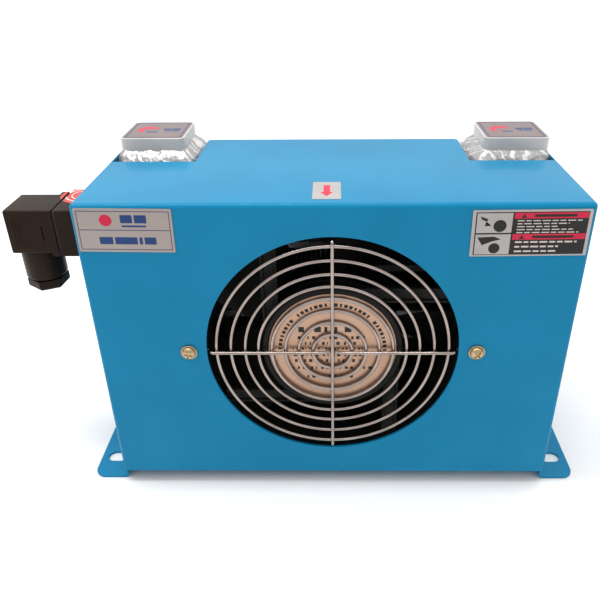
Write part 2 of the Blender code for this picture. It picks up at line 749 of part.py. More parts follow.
def build_stator():
    """Laminated core with four poles, and the winding that fills the slots between them."""
    steps = 48
    slot_floor = 17.0 * MM
    slot_half_angle = math.radians(19)

    def pole_outline():
        points = []
        for i in range(steps):
            angle = 2 * math.pi * (i + 0.5) / steps
            from_slot = abs(angle % (math.pi / 2) - math.pi / 4)
            radius = slot_floor if from_slot < slot_half_angle else STATOR_R
            points.append((radius * math.cos(angle), radius * math.sin(angle)))
        return points

    bm = bmesh.new()
    inner = frame_outline(BEARING_TUBE_R + GAP, steps)
    pipe(bm, pole_outline(), inner, "Z", *STATOR_SPAN)
    add_fan_piece("stator_core", bm, "steel")

    winding = bmesh.new()
    ring_in, ring_out, thick = 11.0 * MM, 25.0 * MM, 4.0 * MM
    front = STATOR_SPAN[0] - GAP
    back = STATOR_SPAN[1] + GAP
    pipe(winding, circle(ring_out, 32), circle(ring_in, 32), "Z", front - thick, front)
    rings = add_fan_piece("stator_winding", winding, "copper_winding")
    rear = bmesh.new()
    pipe(rear, circle(ring_out, 32), circle(ring_in, 32), "Z", back, back + thick)
    combine(rings, add_fan_piece("winding_rear", rear, "copper_winding"), "UNION")
    bars = bmesh.new()
    for quarter in range(4):
        angle = math.radians(45 + 90 * quarter)
        cos, sin = math.cos(angle), math.sin(angle)
        corners = rectangle(slot_floor + 0.6 * MM, ring_out - 0.5 * MM, -3.2 * MM, 3.2 * MM)
        outline = [(x * cos - y * sin, x * sin + y * cos) for x, y in corners]
        prism(bars, outline, "Z", front - 1 * MM, back + 1 * MM)
    combine(rings, add_fan_piece("winding_bars", bars, "copper_winding"), "UNION")


def build_rotor():
    rear = BEARING_TUBE_END - 1 * MM - BEARING_WIDTH
    for name, along in (("bearing_front", 7 * MM), ("bearing_rear", rear)):
        bm = bmesh.new()
        bore_r = SHAFT_R + GAP
        pipe(bm, circle(BEARING_R, 24), circle(bore_r, 24), "Z", along, along + BEARING_WIDTH)
        add_fan_piece(name, bm, "steel")

    bm = bmesh.new()
    low, high = 6.5 * MM, CUP_SPAN[1] + 1.5 * MM
    turned(bm, [(SHAFT_R - 0.4 * MM, low), (SHAFT_R, low + 0.5 * MM), (SHAFT_R, high)], 16)
    add_fan_piece("rotor_shaft", bm, "steel")

    bm = bmesh.new()
    inner_r = STATOR_R + 1.2 * MM
    start, end = CUP_SPAN
    edge = 2 * MM
    profile = [
        (inner_r, start),
        (CUP_R, start),
        (CUP_R, end - edge),
        (CUP_R - edge, end),
        (SHAFT_R + GAP, end),
        (SHAFT_R + GAP, end - CUP_BACK_WALL),
        (inner_r, end - CUP_BACK_WALL),
    ]
    turned(bm, profile, 40, ring=True)
    add_fan_piece("rotor_cup", bm, "fan_black")


def blade_points(root_angle, face):
    """One side of a blade as rows from root to tip. Its chord leans, less so towards the tip."""
    rows, columns = 5, 5
    start, end = BLADE_SPAN
    root_r = CUP_R + 1.2 * MM
    grid = []
    for i in range(rows):
        radius = root_r + (BLADE_TIP_R - root_r) * i / (rows - 1)
        sweep = math.radians(44 - 6 * i / (rows - 1))
        row = []
        for j in range(columns):
            t = j / (columns - 1)
            angle = root_angle + sweep * (t - 0.5) + math.radians(4) * i / (rows - 1)
            camber = 2.2 * MM * math.sin(math.pi * t)
            along = start + (end - start) * t + camber + face * 0.6 * MM
            row.append((radius * math.cos(angle), radius * math.sin(angle), along))
        grid.append(row)
    return grid


def add_blade(bm, root_angle):
    front = blade_points(root_angle, -1)
    back = blade_points(root_angle, 1)
    loops = [near + far[::-1] for near, far in zip(front, back)]
    loft(bm, loops)


def build_impeller():
    """A sleeve on the rotor cup with pressed blades."""
    bm = bmesh.new()
    low, high = CUP_SPAN[0] + 1.5 * MM, CUP_SPAN[1] - 1 * MM - 2 * MM
    inner_r, outer_r = CUP_R + GAP, CUP_R + 2 * MM
    pipe(bm, circle(outer_r, 40), circle(inner_r, 40), "Z", low, high)
    sleeve = add_fan_piece("fan_impeller", bm, "fan_black")
    blades = bmesh.new()
    for index in range(BLADES):
        add_blade(blades, 2 * math.pi * index / BLADES)
    combine(sleeve, add_fan_piece("fan_blades", blades, "fan_black"), "UNION")


# Finger guard and fan screws


def build_guard():
    """Eight rings under two crossed wires, whose ends turn back into the fan frame's notches."""
    sides = 5
    bm = bmesh.new()
    for radius in GUARD_RADII:
        steps = max(14, round(radius / MM / 2))
        loops = []
        for i in range(steps):
            angle = 2 * math.pi * i / steps
            section = [(radius + u, v) for u, v in circle(WIRE_R, sides)]
            loops.append([(r * math.cos(angle), v, r * math.sin(angle)) for r, v in section])
        loft(bm, loops, ring=True)
    guard = add_object("finger_guard", bm, "chrome_wire", (0, GUARD_Y, FAN_Z))
    for name, across in (("guard_wire_across", True), ("guard_wire_upright", False)):
        wire = bmesh.new()
        front = CROSS_WIRE_Y - GUARD_Y
        back = GUARD_FOOT_Y - GUARD_Y
        half = [(GUARD_LEG_R - 1.5 * MM, front), (GUARD_LEG_R, front + 1.5 * MM)]
        half += [(GUARD_LEG_R, back - 1.2 * MM), (GUARD_LEG_R + 1.2 * MM, back), (GUARD_FOOT_R, back)]
        path = [(-reach, y) for reach, y in half[::-1]] + half
        if across:
            rod_along(wire, [(u, y, 0) for u, y in path], WIRE_R, (0, 0, 1), 6)
        else:
            rod_along(wire, [(0, y, u) for u, y in path], WIRE_R, (1, 0, 0), 6)
        combine(guard, add_object(name, wire, "chrome_wire", (0, GUARD_Y, FAN_Z)), "UNION")


def build_fan_screws():
    """Raised-head screws with washers; each one's own +Z points back into the fan."""
    screw = bmesh.new()
    dome_r = SCREW_HEAD_R - 1.3 * MM
    shoulder_r = SCREW_HEAD_R - 0.3 * MM
    tip_r = SCREW_R - 0.8 * MM
    profile = [(dome_r, -SCREW_HEAD), (shoulder_r, 0.8 * MM - SCREW_HEAD), (SCREW_HEAD_R, 0)]
    profile += [(SCREW_R, 0), (SCREW_R, SCREW_LENGTH - 1 * MM), (tip_r, SCREW_LENGTH)]
    turned(screw, profile, 16)
    washer = bmesh.new()
    pipe(washer, circle(WASHER_R, 20), circle(SCREW_R + GAP, 20), "Z", 0, WASHER)
    for name, bm, y in (("fan_screw", screw, SCREW_HEAD_Y), ("fan_washer", washer, -GAP - WASHER)):
        left = add_object(name + "_left", bm, "yellow_zinc", (-FAN_SCREW_X, y, FAN_Z), ALONG_Y)
        add_copy(name + "_right", left.data, "yellow_zinc", (FAN_SCREW_X, y, FAN_Z), ALONG_Y)


def smooth_route(points, per_span):
    """Points on a Catmull-Rom curve through the given ones."""
    ends = [points[0]] + list(points) + [points[-1]]
    route = []
    for a, b, c, d in zip(ends, ends[1:], ends[2:], ends[3:]):
        for i in range(per_span):
            t = i / per_span
            route.append(tuple(between(t, *values) for values in zip(a, b, c, d)))
    return route + [points[-1]]


def between(t, before, start, end, after):
    """The curve's value at a fraction t of the way from start to end."""
    slope = end - before
    bend = 2 * before - 5 * start + 4 * end - after
    twist = 3 * start - before - 3 * end + after
    return 0.5 * (2 * start + slope * t + bend * t**2 + twist * t**3)


def build_lead():
    """The two-core lead inside the housing, from the fan frame to the connector base."""
    y, z = LEAD_HOLE_YZ
    points = [
        (-75.4 * MM, 30 * MM, 106 * MM),
        (-82 * MM, 30 * MM, 106 * MM),
        (-95 * MM, 31 * MM, 111 * MM),
        (-104 * MM, 34 * MM, 126 * MM),
        (-108 * MM, 38 * MM, 145 * MM),
        (-117 * MM, y - 1 * MM, z - 4 * MM),
        (-128 * MM, y, z),
        (-140 * MM, y, z),
    ]
    route = smooth_route(points, 4)
    curve = bpy.data.curves.new("fan_lead", "CURVE")
    curve.dimensions = "3D"
    curve.bevel_depth = LEAD_R
    curve.bevel_resolution = 2
    curve.use_fill_caps = True
    spline = curve.splines.new("POLY")
    spline.points.add(len(route) - 1)
    for point, place in zip(spline.points, route):
        point.co = (*place, 1)
    curve.materials.append(MATERIALS["cable_sheath"])
    lead = bpy.data.objects.new("fan_lead", curve)
    lead.parent = HOUSING_FRAME
    bpy.context.scene.collection.objects.link(lead)


# Connector


def pin_places():
    """(Y, Z, upright) of the two line contacts and the earth contact, round the plug's middle."""
    return (
        (PLUG_Y, PLUG_Z + PIN_OFFSET, False),
        (PLUG_Y, PLUG_Z - PIN_OFFSET, False),
        (PLUG_Y + PIN_OFFSET, PLUG_Z, True),
    )


def pin_box(place, size, low_x, high_x):
    """The corners of a flat contact or of its slot."""
    y, z, upright = place
    thin, wide = size[0] / 2, size[1] / 2
    half_y, half_z = (thin, wide) if upright else (wide, thin)
    if not upright:
        half_y = half_y * 0.8
    else:
        half_z = half_z * 0.8
    return (low_x, y - half_y, z - half_z), (high_x, y + half_y, z + half_z)


def build_connector_base():
    bm = bmesh.new()
    outline = rounded_rectangle(CONNECTOR_FRONT, BASE_BACK, BASE_BOTTOM, CONNECTOR_TOP, 2 * MM)
    prism(bm, outline, "X", SEAM_X, BASE_X)
    base = add_object("connector_base", bm, "black_polyamide")
    wiring = bmesh.new()
    room = 4.5 * MM
    floor_x = SEAM_X + 7.5 * MM
    block(
        wiring,
        (floor_x, CONNECTOR_FRONT + room, BASE_BOTTOM + room),
        (BASE_X + 1 * MM, BASE_BACK - room, CONNECTOR_TOP - room),
    )
    combine(base, add_object("base_wiring_room", wiring, "black_polyamide"), "DIFFERENCE")
    holes = bmesh.new()
    for place in pin_places():
        block(holes, *pin_box(place, PIN_SLOT, SEAM_X - 1 * MM, floor_x + 1 * MM))
    screw_hole = circle(FIXING_SCREW_R + 0.4 * MM, 12, (PLUG_Y, PLUG_Z))
    prism(holes, screw_hole, "X", SEAM_X - 1 * MM, SEAM_X + 6 * MM)
    combine(base, add_object("base_holes", holes, "black_polyamide"), "DIFFERENCE")


def build_contacts():
    for name, place in zip(("line", "neutral", "earth"), pin_places()):
        bm = bmesh.new()
        block(bm, *pin_box(place, PIN_SIZE, *PIN_SPAN))
        add_object("contact_pin_" + name, bm, "brass_contact")


def plug_outline(inset, rounding):
    """The plug's square section in Y and Z, made smaller all round."""
    low_y, high_y = CONNECTOR_FRONT + inset, PLUG_BACK - inset
    return rounded_rectangle(low_y, high_y, PLUG_BOTTOM + inset, CONNECTOR_TOP - inset, rounding)


def build_connector_seal():
    bm = bmesh.new()
    outer = plug_outline(0.6 * MM, 2 * MM)
    inner = plug_outline(PLUG_WALL, 1.5 * MM)
    pipe(bm, outer, inner, "X", SEAM_X - GAP - SEAL, SEAM_X - GAP)
    add_object("connector_seal", bm, "black_rubber")


def add_gland_piece(name, bm, material):
    """A piece whose own Z axis is the gland's."""
    return add_object(name, bm, material, (GLAND_X, PLUG_Y, 0))


def add_screw_piece(name, bm, material):
    """A piece whose own +Z runs outwards along the fixing screw."""
    return add_object(name, bm, material, (0, PLUG_Y, PLUG_Z), ALONG_MINUS_X)


def build_plug():
    """The square plug housing with its collar, the round gland neck below and the ways inside."""
    rounding = 1.6 * MM
    bm = bmesh.new()
    section = plug_outline(0.2 * MM, rounding)
    end = plug_outline(1.2 * MM, rounding)
    levels = (
        (section, PLUG_X - 1 * MM),
        (section, PLUG_END_X + 0.8 * MM),
        (end, PLUG_END_X),
    )
    loft(bm, [lift(points, "X", along) for points, along in levels])
    plug = add_object("plug_housing", bm, "black_polyamide")
    collar = bmesh.new()
    outline = rounded_rectangle(CONNECTOR_FRONT, COLLAR_BACK, BASE_BOTTOM, CONNECTOR_TOP, rounding)
    prism(collar, outline, "X", PLUG_X - COLLAR_LENGTH, PLUG_X)
    combine(plug, add_object("plug_collar", collar, "black_polyamide"), "UNION")
    neck = bmesh.new()
    profile = [(NECK_R - 0.8 * MM, NECK_BOTTOM), (NECK_R, NECK_BOTTOM + 1 * MM)]
    turned(neck, profile + [(NECK_R, PLUG_BOTTOM + 6 * MM)], 28)
    combine(plug, add_gland_piece("plug_neck", neck, "black_polyamide"), "UNION")
    cavity = bmesh.new()
    block(
        cavity,
        (PLUG_CAVITY_END, CONNECTOR_FRONT + PLUG_WALL, PLUG_BOTTOM + PLUG_WALL),
        (PLUG_X + 1 * MM, PLUG_BACK - PLUG_WALL, CONNECTOR_TOP - PLUG_WALL),
    )
    combine(plug, add_object("plug_cavity", cavity, "black_polyamide"), "DIFFERENCE")
    bore = bmesh.new()
    profile = [
        (NECK_BORE_R, NECK_BOTTOM - 1 * MM),
        (NECK_BORE_R, NECK_SHOULDER),
        (CABLE_BORE_R, NECK_SHOULDER),
        (CABLE_BORE_R, PLUG_BOTTOM + PLUG_WALL + 1.5 * MM),
    ]
    turned(bore, profile, 24)
    combine(plug, add_gland_piece("plug_cable_bore", bore, "black_polyamide"), "DIFFERENCE")
    screw_way = bmesh.new()
    profile = [
        (FIXING_SCREW_R + 0.4 * MM, PLUG_CAVITY_END + 1 * MM),
        (FIXING_SCREW_R + 0.4 * MM, PLUG_END_X + COUNTERBORE),
        (FIXING_HEAD_R + 0.4 * MM, PLUG_END_X + COUNTERBORE),
        (FIXING_HEAD_R + 0.4 * MM, PLUG_END_X - 1 * MM),
    ]
    turned(screw_way, [(radius, -x) for radius, x in profile], 16)
    helper = add_screw_piece("plug_screw_way", screw_way, "black_polyamide")
    combine(plug, helper, "DIFFERENCE")


def build_insert():
    """The terminal block that holds the sockets for the contacts."""
    bm = bmesh.new()
    outline = plug_outline(PLUG_WALL + GAP, 0.5 * MM)
    low_x, high_x = PLUG_CAVITY_END + 3.5 * MM, PLUG_X - GAP
    prism(bm, outline, "X", low_x, high_x)
    insert = add_object("plug_insert", bm, "black_polyamide")
    ways = bmesh.new()
    for place in pin_places():
        block(ways, *pin_box(place, PIN_SLOT, low_x - 1 * MM, high_x + 1 * MM))
    screw_hole = circle(FIXING_SCREW_R + 0.4 * MM, 12, (PLUG_Y, PLUG_Z))
    prism(ways, screw_hole, "X", low_x - 1 * MM, high_x + 1 * MM)
    combine(insert, add_object("insert_ways", ways, "black_polyamide"), "DIFFERENCE")


def build_fixing_screw():
    """The captive screw through the middle of the plug, turned about its own axis."""
    bm = bmesh.new()
    shoulder = -(PLUG_END_X + COUNTERBORE) + GAP
    profile = [
        (FIXING_SCREW_R, -SEAM_X - 4.5 * MM),
        (FIXING_SCREW_R, shoulder),
        (FIXING_HEAD_R, shoulder),
        (FIXING_HEAD_R, -FIXING_HEAD_END_X - 0.5 * MM),
        (FIXING_HEAD_R - 0.5 * MM, -FIXING_HEAD_END_X),
    ]
    turned(bm, profile, 16)
    screw = add_screw_piece("plug_fixing_screw", bm, "steel")
    slot = bmesh.new()
    floor, above = -FIXING_HEAD_END_X - 1.2 * MM, -FIXING_HEAD_END_X + 1 * MM
    block(slot, (-0.5 * MM, -4 * MM, floor), (0.5 * MM, 4 * MM, above))
    combine(screw, add_screw_piece("fixing_screw_slot", slot, "steel"), "DIFFERENCE")


def build_gland():
    """The compression nut, screwed into the neck, and the rubber ring that it squeezes."""
    nut_top = NECK_BOTTOM - 0.6 * MM
    spigot_r = NECK_BORE_R - GAP
    chamfer = 1.5 * MM
    bm = bmesh.new()
    profile = [(GLAND_NUT_R - chamfer, GLAND_NUT_BOTTOM), (GLAND_NUT_R, GLAND_NUT_BOTTOM + chamfer)]
    turned(bm, profile + [(GLAND_NUT_R, nut_top)], 6)
    nut = add_gland_piece("gland_nut", bm, "black_polyamide")
    nut.rotation_euler = (0, 0, GLAND_NUT_TURN)
    spigot = bmesh.new()
    turned(spigot, [(spigot_r, nut_top - 1 * MM), (spigot_r, GLAND_SPIGOT_TOP)], 24)
    combine(nut, add_gland_piece("gland_spigot", spigot, "black_polyamide"), "UNION")
    bore = bmesh.new()
    ends = (GLAND_NUT_BOTTOM - 1 * MM, GLAND_SPIGOT_TOP + 1 * MM)
    turned(bore, [(GLAND_NUT_BORE_R, height) for height in ends], 20)
    combine(nut, add_gland_piece("gland_bore", bore, "black_polyamide"), "DIFFERENCE")
    seal = bmesh.new()
    outer, inner = circle(spigot_r, 24), circle(GLAND_NUT_BORE_R - 0.7 * MM, 24)
    pipe(seal, outer, inner, "Z", GLAND_SPIGOT_TOP + GAP, GLAND_SEAL_TOP)
    add_gland_piece("gland_seal", seal, "black_rubber")


# Labels


def build_labels():
    for name, box, material in (
        ("nameplate", NAMEPLATE_BOX, "label_foil"),
        ("warning_label", WARNING_BOX, "warning_film"),
    ):
        bm = bmesh.new()
        prism(bm, rounded_rectangle(*box, 0.8 * MM, 1), "Y", -GAP - LABEL, -GAP)
        add_object(name, bm, material)


build_housing()
build_bottom_tray()
build_tank("core_tank_left", -1)
build_tank("core_tank_right", 1)
build_port(-1, "port_boss_left")
build_port(1, "port_boss_right")
build_weld(-1, "port_weld_left")
build_weld(1, "port_weld_right")
build_plates()
build_tubes()
build_fins()
build_core_bolts()
build_fan_frame()
build_fan_disc()
build_stator()
build_rotor()
build_impeller()
build_guard()
build_fan_screws()
build_lead()
build_connector_base()
build_contacts()
build_connector_seal()
build_plug()
build_insert()
build_fixing_screw()
build_gland()
build_labels()
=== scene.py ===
"""The looks of an air-blast hydraulic oil cooler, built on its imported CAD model.

Every piece is made in housing coordinates: X = 0 is the mid-plane of the housing, Y = 0 the outer
face of its front panel and Z = 0 the underside of its feet. ORIGIN moves them to the row frame.
"""

import json
from math import cos, dist, pi, radians, sin

import bmesh
import bpy
from mathutils import Matrix, Vector, noise

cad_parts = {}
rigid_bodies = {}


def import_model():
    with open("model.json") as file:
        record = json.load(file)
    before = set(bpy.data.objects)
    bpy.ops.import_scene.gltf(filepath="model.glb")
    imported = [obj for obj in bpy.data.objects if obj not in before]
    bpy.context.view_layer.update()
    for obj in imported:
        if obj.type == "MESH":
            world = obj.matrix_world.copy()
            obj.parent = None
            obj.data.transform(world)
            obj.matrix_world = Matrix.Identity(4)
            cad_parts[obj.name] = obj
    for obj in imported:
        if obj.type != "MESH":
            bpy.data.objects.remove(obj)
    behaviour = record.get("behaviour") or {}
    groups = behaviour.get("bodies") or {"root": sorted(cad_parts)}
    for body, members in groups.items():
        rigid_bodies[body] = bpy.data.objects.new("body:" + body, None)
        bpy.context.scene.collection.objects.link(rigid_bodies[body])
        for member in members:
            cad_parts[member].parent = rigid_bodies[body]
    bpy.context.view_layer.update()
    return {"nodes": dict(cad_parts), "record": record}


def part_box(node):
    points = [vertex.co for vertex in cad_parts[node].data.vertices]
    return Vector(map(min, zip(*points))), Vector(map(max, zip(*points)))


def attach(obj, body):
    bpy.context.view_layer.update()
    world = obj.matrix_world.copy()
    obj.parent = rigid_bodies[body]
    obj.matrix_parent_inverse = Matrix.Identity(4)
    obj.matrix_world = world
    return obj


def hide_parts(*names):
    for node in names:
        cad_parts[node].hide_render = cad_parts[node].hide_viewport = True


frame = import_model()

MM = 0.001
HOUSING_LOW, HOUSING_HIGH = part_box("housing_shroud")
ORIGIN = Vector(((HOUSING_LOW.x + HOUSING_HIGH.x) / 2, HOUSING_LOW.y, 0))

# Housing
SHEET = 1.5 * MM
BEND = 2.5 * MM
FOOT_BEND = 2.0 * MM
HALF_WIDTH = 132.7 * MM
TOP = 189.2 * MM
DEPTH = 113.5 * MM
PANEL_BOTTOM = 9.2 * MM
FAN_HOLE_R = 71.0 * MM
FAN_Z = 100.2 * MM
FAN_SCREW_X = 81.0 * MM
NOTCH_X = 80.9 * MM
NOTCH_Y = 68.4 * MM
FOOT_HALF_SPAN = 153.9 * MM
FOOT_FRONT = 3.0 * MM
FOOT_CORNER_R = 7.0 * MM
SLOT_X = 143.2 * MM
SLOT_Y = 20.6 * MM
SLOT_SIZE = (13.0 * MM, 8.6 * MM)
FAN_SCREW_HOLE_R = 2.3 * MM
LEAD_HOLE_R = 5.0 * MM
LEAD_HOLE = (43.0 * MM, 162.0 * MM)

# Core, ports and welds
CORE_FRONT = 74.0 * MM
CORE_BACK = 126.0 * MM
CORE_BOTTOM = 11.5 * MM
CORE_TOP = 183.5 * MM
TANK_INNER_X = 81.0 * MM
TANK_OUTER_X = 130.9 * MM
TUBES = 9
CORE_BOLT_Y = 100.0 * MM
CORE_BOLT_Z = (42.0 * MM, 152.0 * MM)
CORE_BOLT_HOLE_R = 3.3 * MM
PORT_CENTRES = {-1: (-109.1 * MM, 100.2 * MM), 1: (110.7 * MM, 98.4 * MM)}
PORT_HALF = (19.4 * MM, 19.0 * MM)
PORT_TOP = 199.5 * MM
PORT_CORNER_R = 3.5 * MM
WELD_BOTTOM = 183.7 * MM
WELD_HEIGHT = 8.7 * MM

# Fan, measured back from its front face
FAN_FRONT = 1.8 * MM
FAN_DEPTH = 51.0 * MM
FLANGE = 5.0 * MM
FRAME_R = 86.0 * MM
FRAME_HALF_HEIGHT = 75.0 * MM
DUCT_R = 72.5 * MM
WAIST_R = 74.8 * MM
HUB_R = 39.8 * MM
DISC_R = 36.2 * MM
CUP_R = 37.0 * MM
STRUT_OFFSET = 34.2 * MM
STRUT_WIDTH = 9.0 * MM
BLADES = 5
BLADE_TIP_R = 70.5 * MM
BLADE_SPAN = (13.0 * MM, 46.5 * MM)

# Finger guard
WIRE_R = 1.0 * MM
GUARD_RADII = [radius * MM for radius in (65.4, 57.3, 49.2, 41.8, 34.3, 26.6, 19.0, 11.1)]
GUARD_Y = 0.6 * MM
CROSS_WIRE_Y = -1.2 * MM
GUARD_LEG_R = 68.6 * MM
GUARD_FOOT_Y = 3.1 * MM

# Connector
CONNECTOR_FRONT = 28.0 * MM
CONNECTOR_TOP = 174.5 * MM
BASE_BACK = 62.0 * MM
COLLAR_BACK = 58.5 * MM
COLLAR_LENGTH = 4.4 * MM
BASE_BOTTOM = 146.3 * MM
SEAM_X = -153.7 * MM
PLUG_X = -155.1 * MM
PLUG_END_X = -182.2 * MM
PLUG_BACK = 54.3 * MM
PLUG_BOTTOM = 148.3 * MM
PLUG_Y = (CONNECTOR_FRONT + PLUG_BACK) / 2
PLUG_Z = (CONNECTOR_TOP + PLUG_BOTTOM) / 2
GLAND_X = -171.1 * MM
NECK_R = 11.6 * MM
NECK_BOTTOM = 129.2 * MM
NUT_BOTTOM = 122.3 * MM
NUT_R = 11.8 * MM
NUT_TURN = radians(25)

# Camera and its view
CAMERA_PLACE = (1.19 * MM, -299.81 * MM, 308.40 * MM)
CAMERA_PITCH = 0.5036
CAMERA_YAW = -0.0152
CAMERA_ROLL = -0.0086
CAMERA_LENS = 38.62
CAMERA_SHIFT = (-0.0432, -0.0248)


def at(x, y, z):
    return Matrix.Translation((x, y, z))


ALONG_Y = Matrix.Rotation(-pi / 2, 4, "X")
FAN_PLACE = at(0, FAN_FRONT, FAN_Z) @ ALONG_Y
GLAND_PLACE = at(GLAND_X, PLUG_Y, 0)
SIDES = (("left", -1), ("right", 1))
SMOOTH_DEG = 35
EDGE_DEG = 40
FILM_GRAIN = (2500.0, 0.00001)


# Materials


class Nodes:
    """Builds one procedural material. Textures use the object's own coordinates, in metres."""

    def __init__(self, name):
        self.material = bpy.data.materials.new(name)
        self.material.use_nodes = True
        self.tree = self.material.node_tree
        self.shader = self.tree.nodes["Principled BSDF"]
        self.place = self.tree.nodes.new("ShaderNodeTexCoord").outputs["Object"]

    def link(self, source, target):
        self.tree.links.new(source, target)

    def stretched(self, factors):
        node = self.tree.nodes.new("ShaderNodeMapping")
        node.inputs["Scale"].default_value = factors
        self.link(self.place, node.inputs["Vector"])
        return node.outputs["Vector"]

    def noise(self, scale, detail=3.0, place=None):
        node = self.tree.nodes.new("ShaderNodeTexNoise")
        node.inputs["Scale"].default_value = scale
        node.inputs["Detail"].default_value = detail
        self.link(place or self.place, node.inputs["Vector"])
        return node.outputs["Fac"]

    def specks(self, scale, size):
        """1 in small round spots, 0 elsewhere."""
        node = self.tree.nodes.new("ShaderNodeTexVoronoi")
        node.inputs["Scale"].default_value = scale
        self.link(self.place, node.inputs["Vector"])
        return self.ranged(node.outputs["Distance"], size, size * 0.5, 0, 1)

    def ranged(self, value, low, high, to_low, to_high):
        node = self.tree.nodes.new("ShaderNodeMapRange")
        for socket, number in zip(node.inputs[1:5], (low, high, to_low, to_high)):
            socket.default_value = number
        self.link(value, node.inputs[0])
        return node.outputs[0]

    def mixed(self, factor, first, second):
        node = self.tree.nodes.new("ShaderNodeMix")
        node.data_type = "RGBA"
        self.link(factor, node.inputs[0])
        for socket, value in ((node.inputs[6], first), (node.inputs[7], second)):
            if isinstance(value, tuple):
                socket.default_value = (*value, 1)
            else:
                self.link(value, socket)
        return node.outputs[2]

    def bumped(self, height, distance, strength=1.0, under=None):
        node = self.tree.nodes.new("ShaderNodeBump")
        node.inputs["Distance"].default_value = distance
        node.inputs["Strength"].default_value = strength
        self.link(height, node.inputs["Height"])
        if under:
            self.link(under, node.inputs["Normal"])
        return node.outputs["Normal"]


def make_surface(name, colours, roughness, mottle=40.0, metallic=0.0, grain=None, stretch=None,
                 dust=None, specular=0.5, coat=None, second_grain=None):
    """colours and roughness are pairs that a noise moves between. grain is (scale, depth)."""
    nodes = Nodes(name)
    patches = nodes.noise(mottle, 4.0)
    place = nodes.stretched(stretch) if stretch else None
    fine = nodes.noise((grain or (900.0, 0))[0], 3.0, place)
    blend = nodes.ranged(patches, 0.3, 0.7, 0, 1)
    colour = nodes.mixed(blend, colours[0], colours[1])
    if dust:
        colour = nodes.mixed(nodes.specks(dust[0], dust[1]), colour, dust[2])
    nodes.link(colour, nodes.shader.inputs["Base Color"])
    nodes.link(nodes.ranged(fine, 0.3, 0.7, *roughness), nodes.shader.inputs["Roughness"])
    nodes.shader.inputs["Metallic"].default_value = metallic
    nodes.shader.inputs["Specular IOR Level"].default_value = specular
    normal = None
    if second_grain:
        normal = nodes.bumped(nodes.noise(second_grain[0], 2.0), second_grain[1])
    if grain:
        normal = nodes.bumped(fine, grain[1], under=normal)
    if normal:
        nodes.link(normal, nodes.shader.inputs["Normal"])
    if coat:
        nodes.shader.inputs["Coat Weight"].default_value = coat[0]
        nodes.shader.inputs["Coat Roughness"].default_value = coat[1]
    return nodes.material


def make_weld_surface():
    """Cast-looking bead metal with curling bright and dull streaks; the bright streaks are partly
    painted highlight lines along the ripples.
    """
    nodes = Nodes("weld_metal")
    wave = nodes.tree.nodes.new("ShaderNodeTexWave")
    wave.bands_direction = "DIAGONAL"
    for socket, value in (("Scale", 70.0), ("Distortion", 11.0), ("Detail", 1.5),
                          ("Detail Scale", 1.1), ("Detail Roughness", 0.4)):
        wave.inputs[socket].default_value = value
    nodes.link(nodes.place, wave.inputs["Vector"])
    streaks = nodes.ranged(wave.outputs["Fac"], 0.7, 1.0, 0, 1)
    # The bright streak colour is partly painted highlight.
    dull, bright = (0.34, 0.33, 0.325), (0.68, 0.675, 0.67)
    nodes.link(nodes.mixed(streaks, dull, bright), nodes.shader.inputs["Base Color"])
    fine = nodes.noise(900.0)
    nodes.link(nodes.ranged(fine, 0.3, 0.7, 0.2, 0.36), nodes.shader.inputs["Roughness"])
    nodes.shader.inputs["Metallic"].default_value = 0.45
    relief = nodes.bumped(streaks, 0.0003, 0.6)
    nodes.link(nodes.bumped(fine, 0.0001, under=relief), nodes.shader.inputs["Normal"])
    return nodes.material


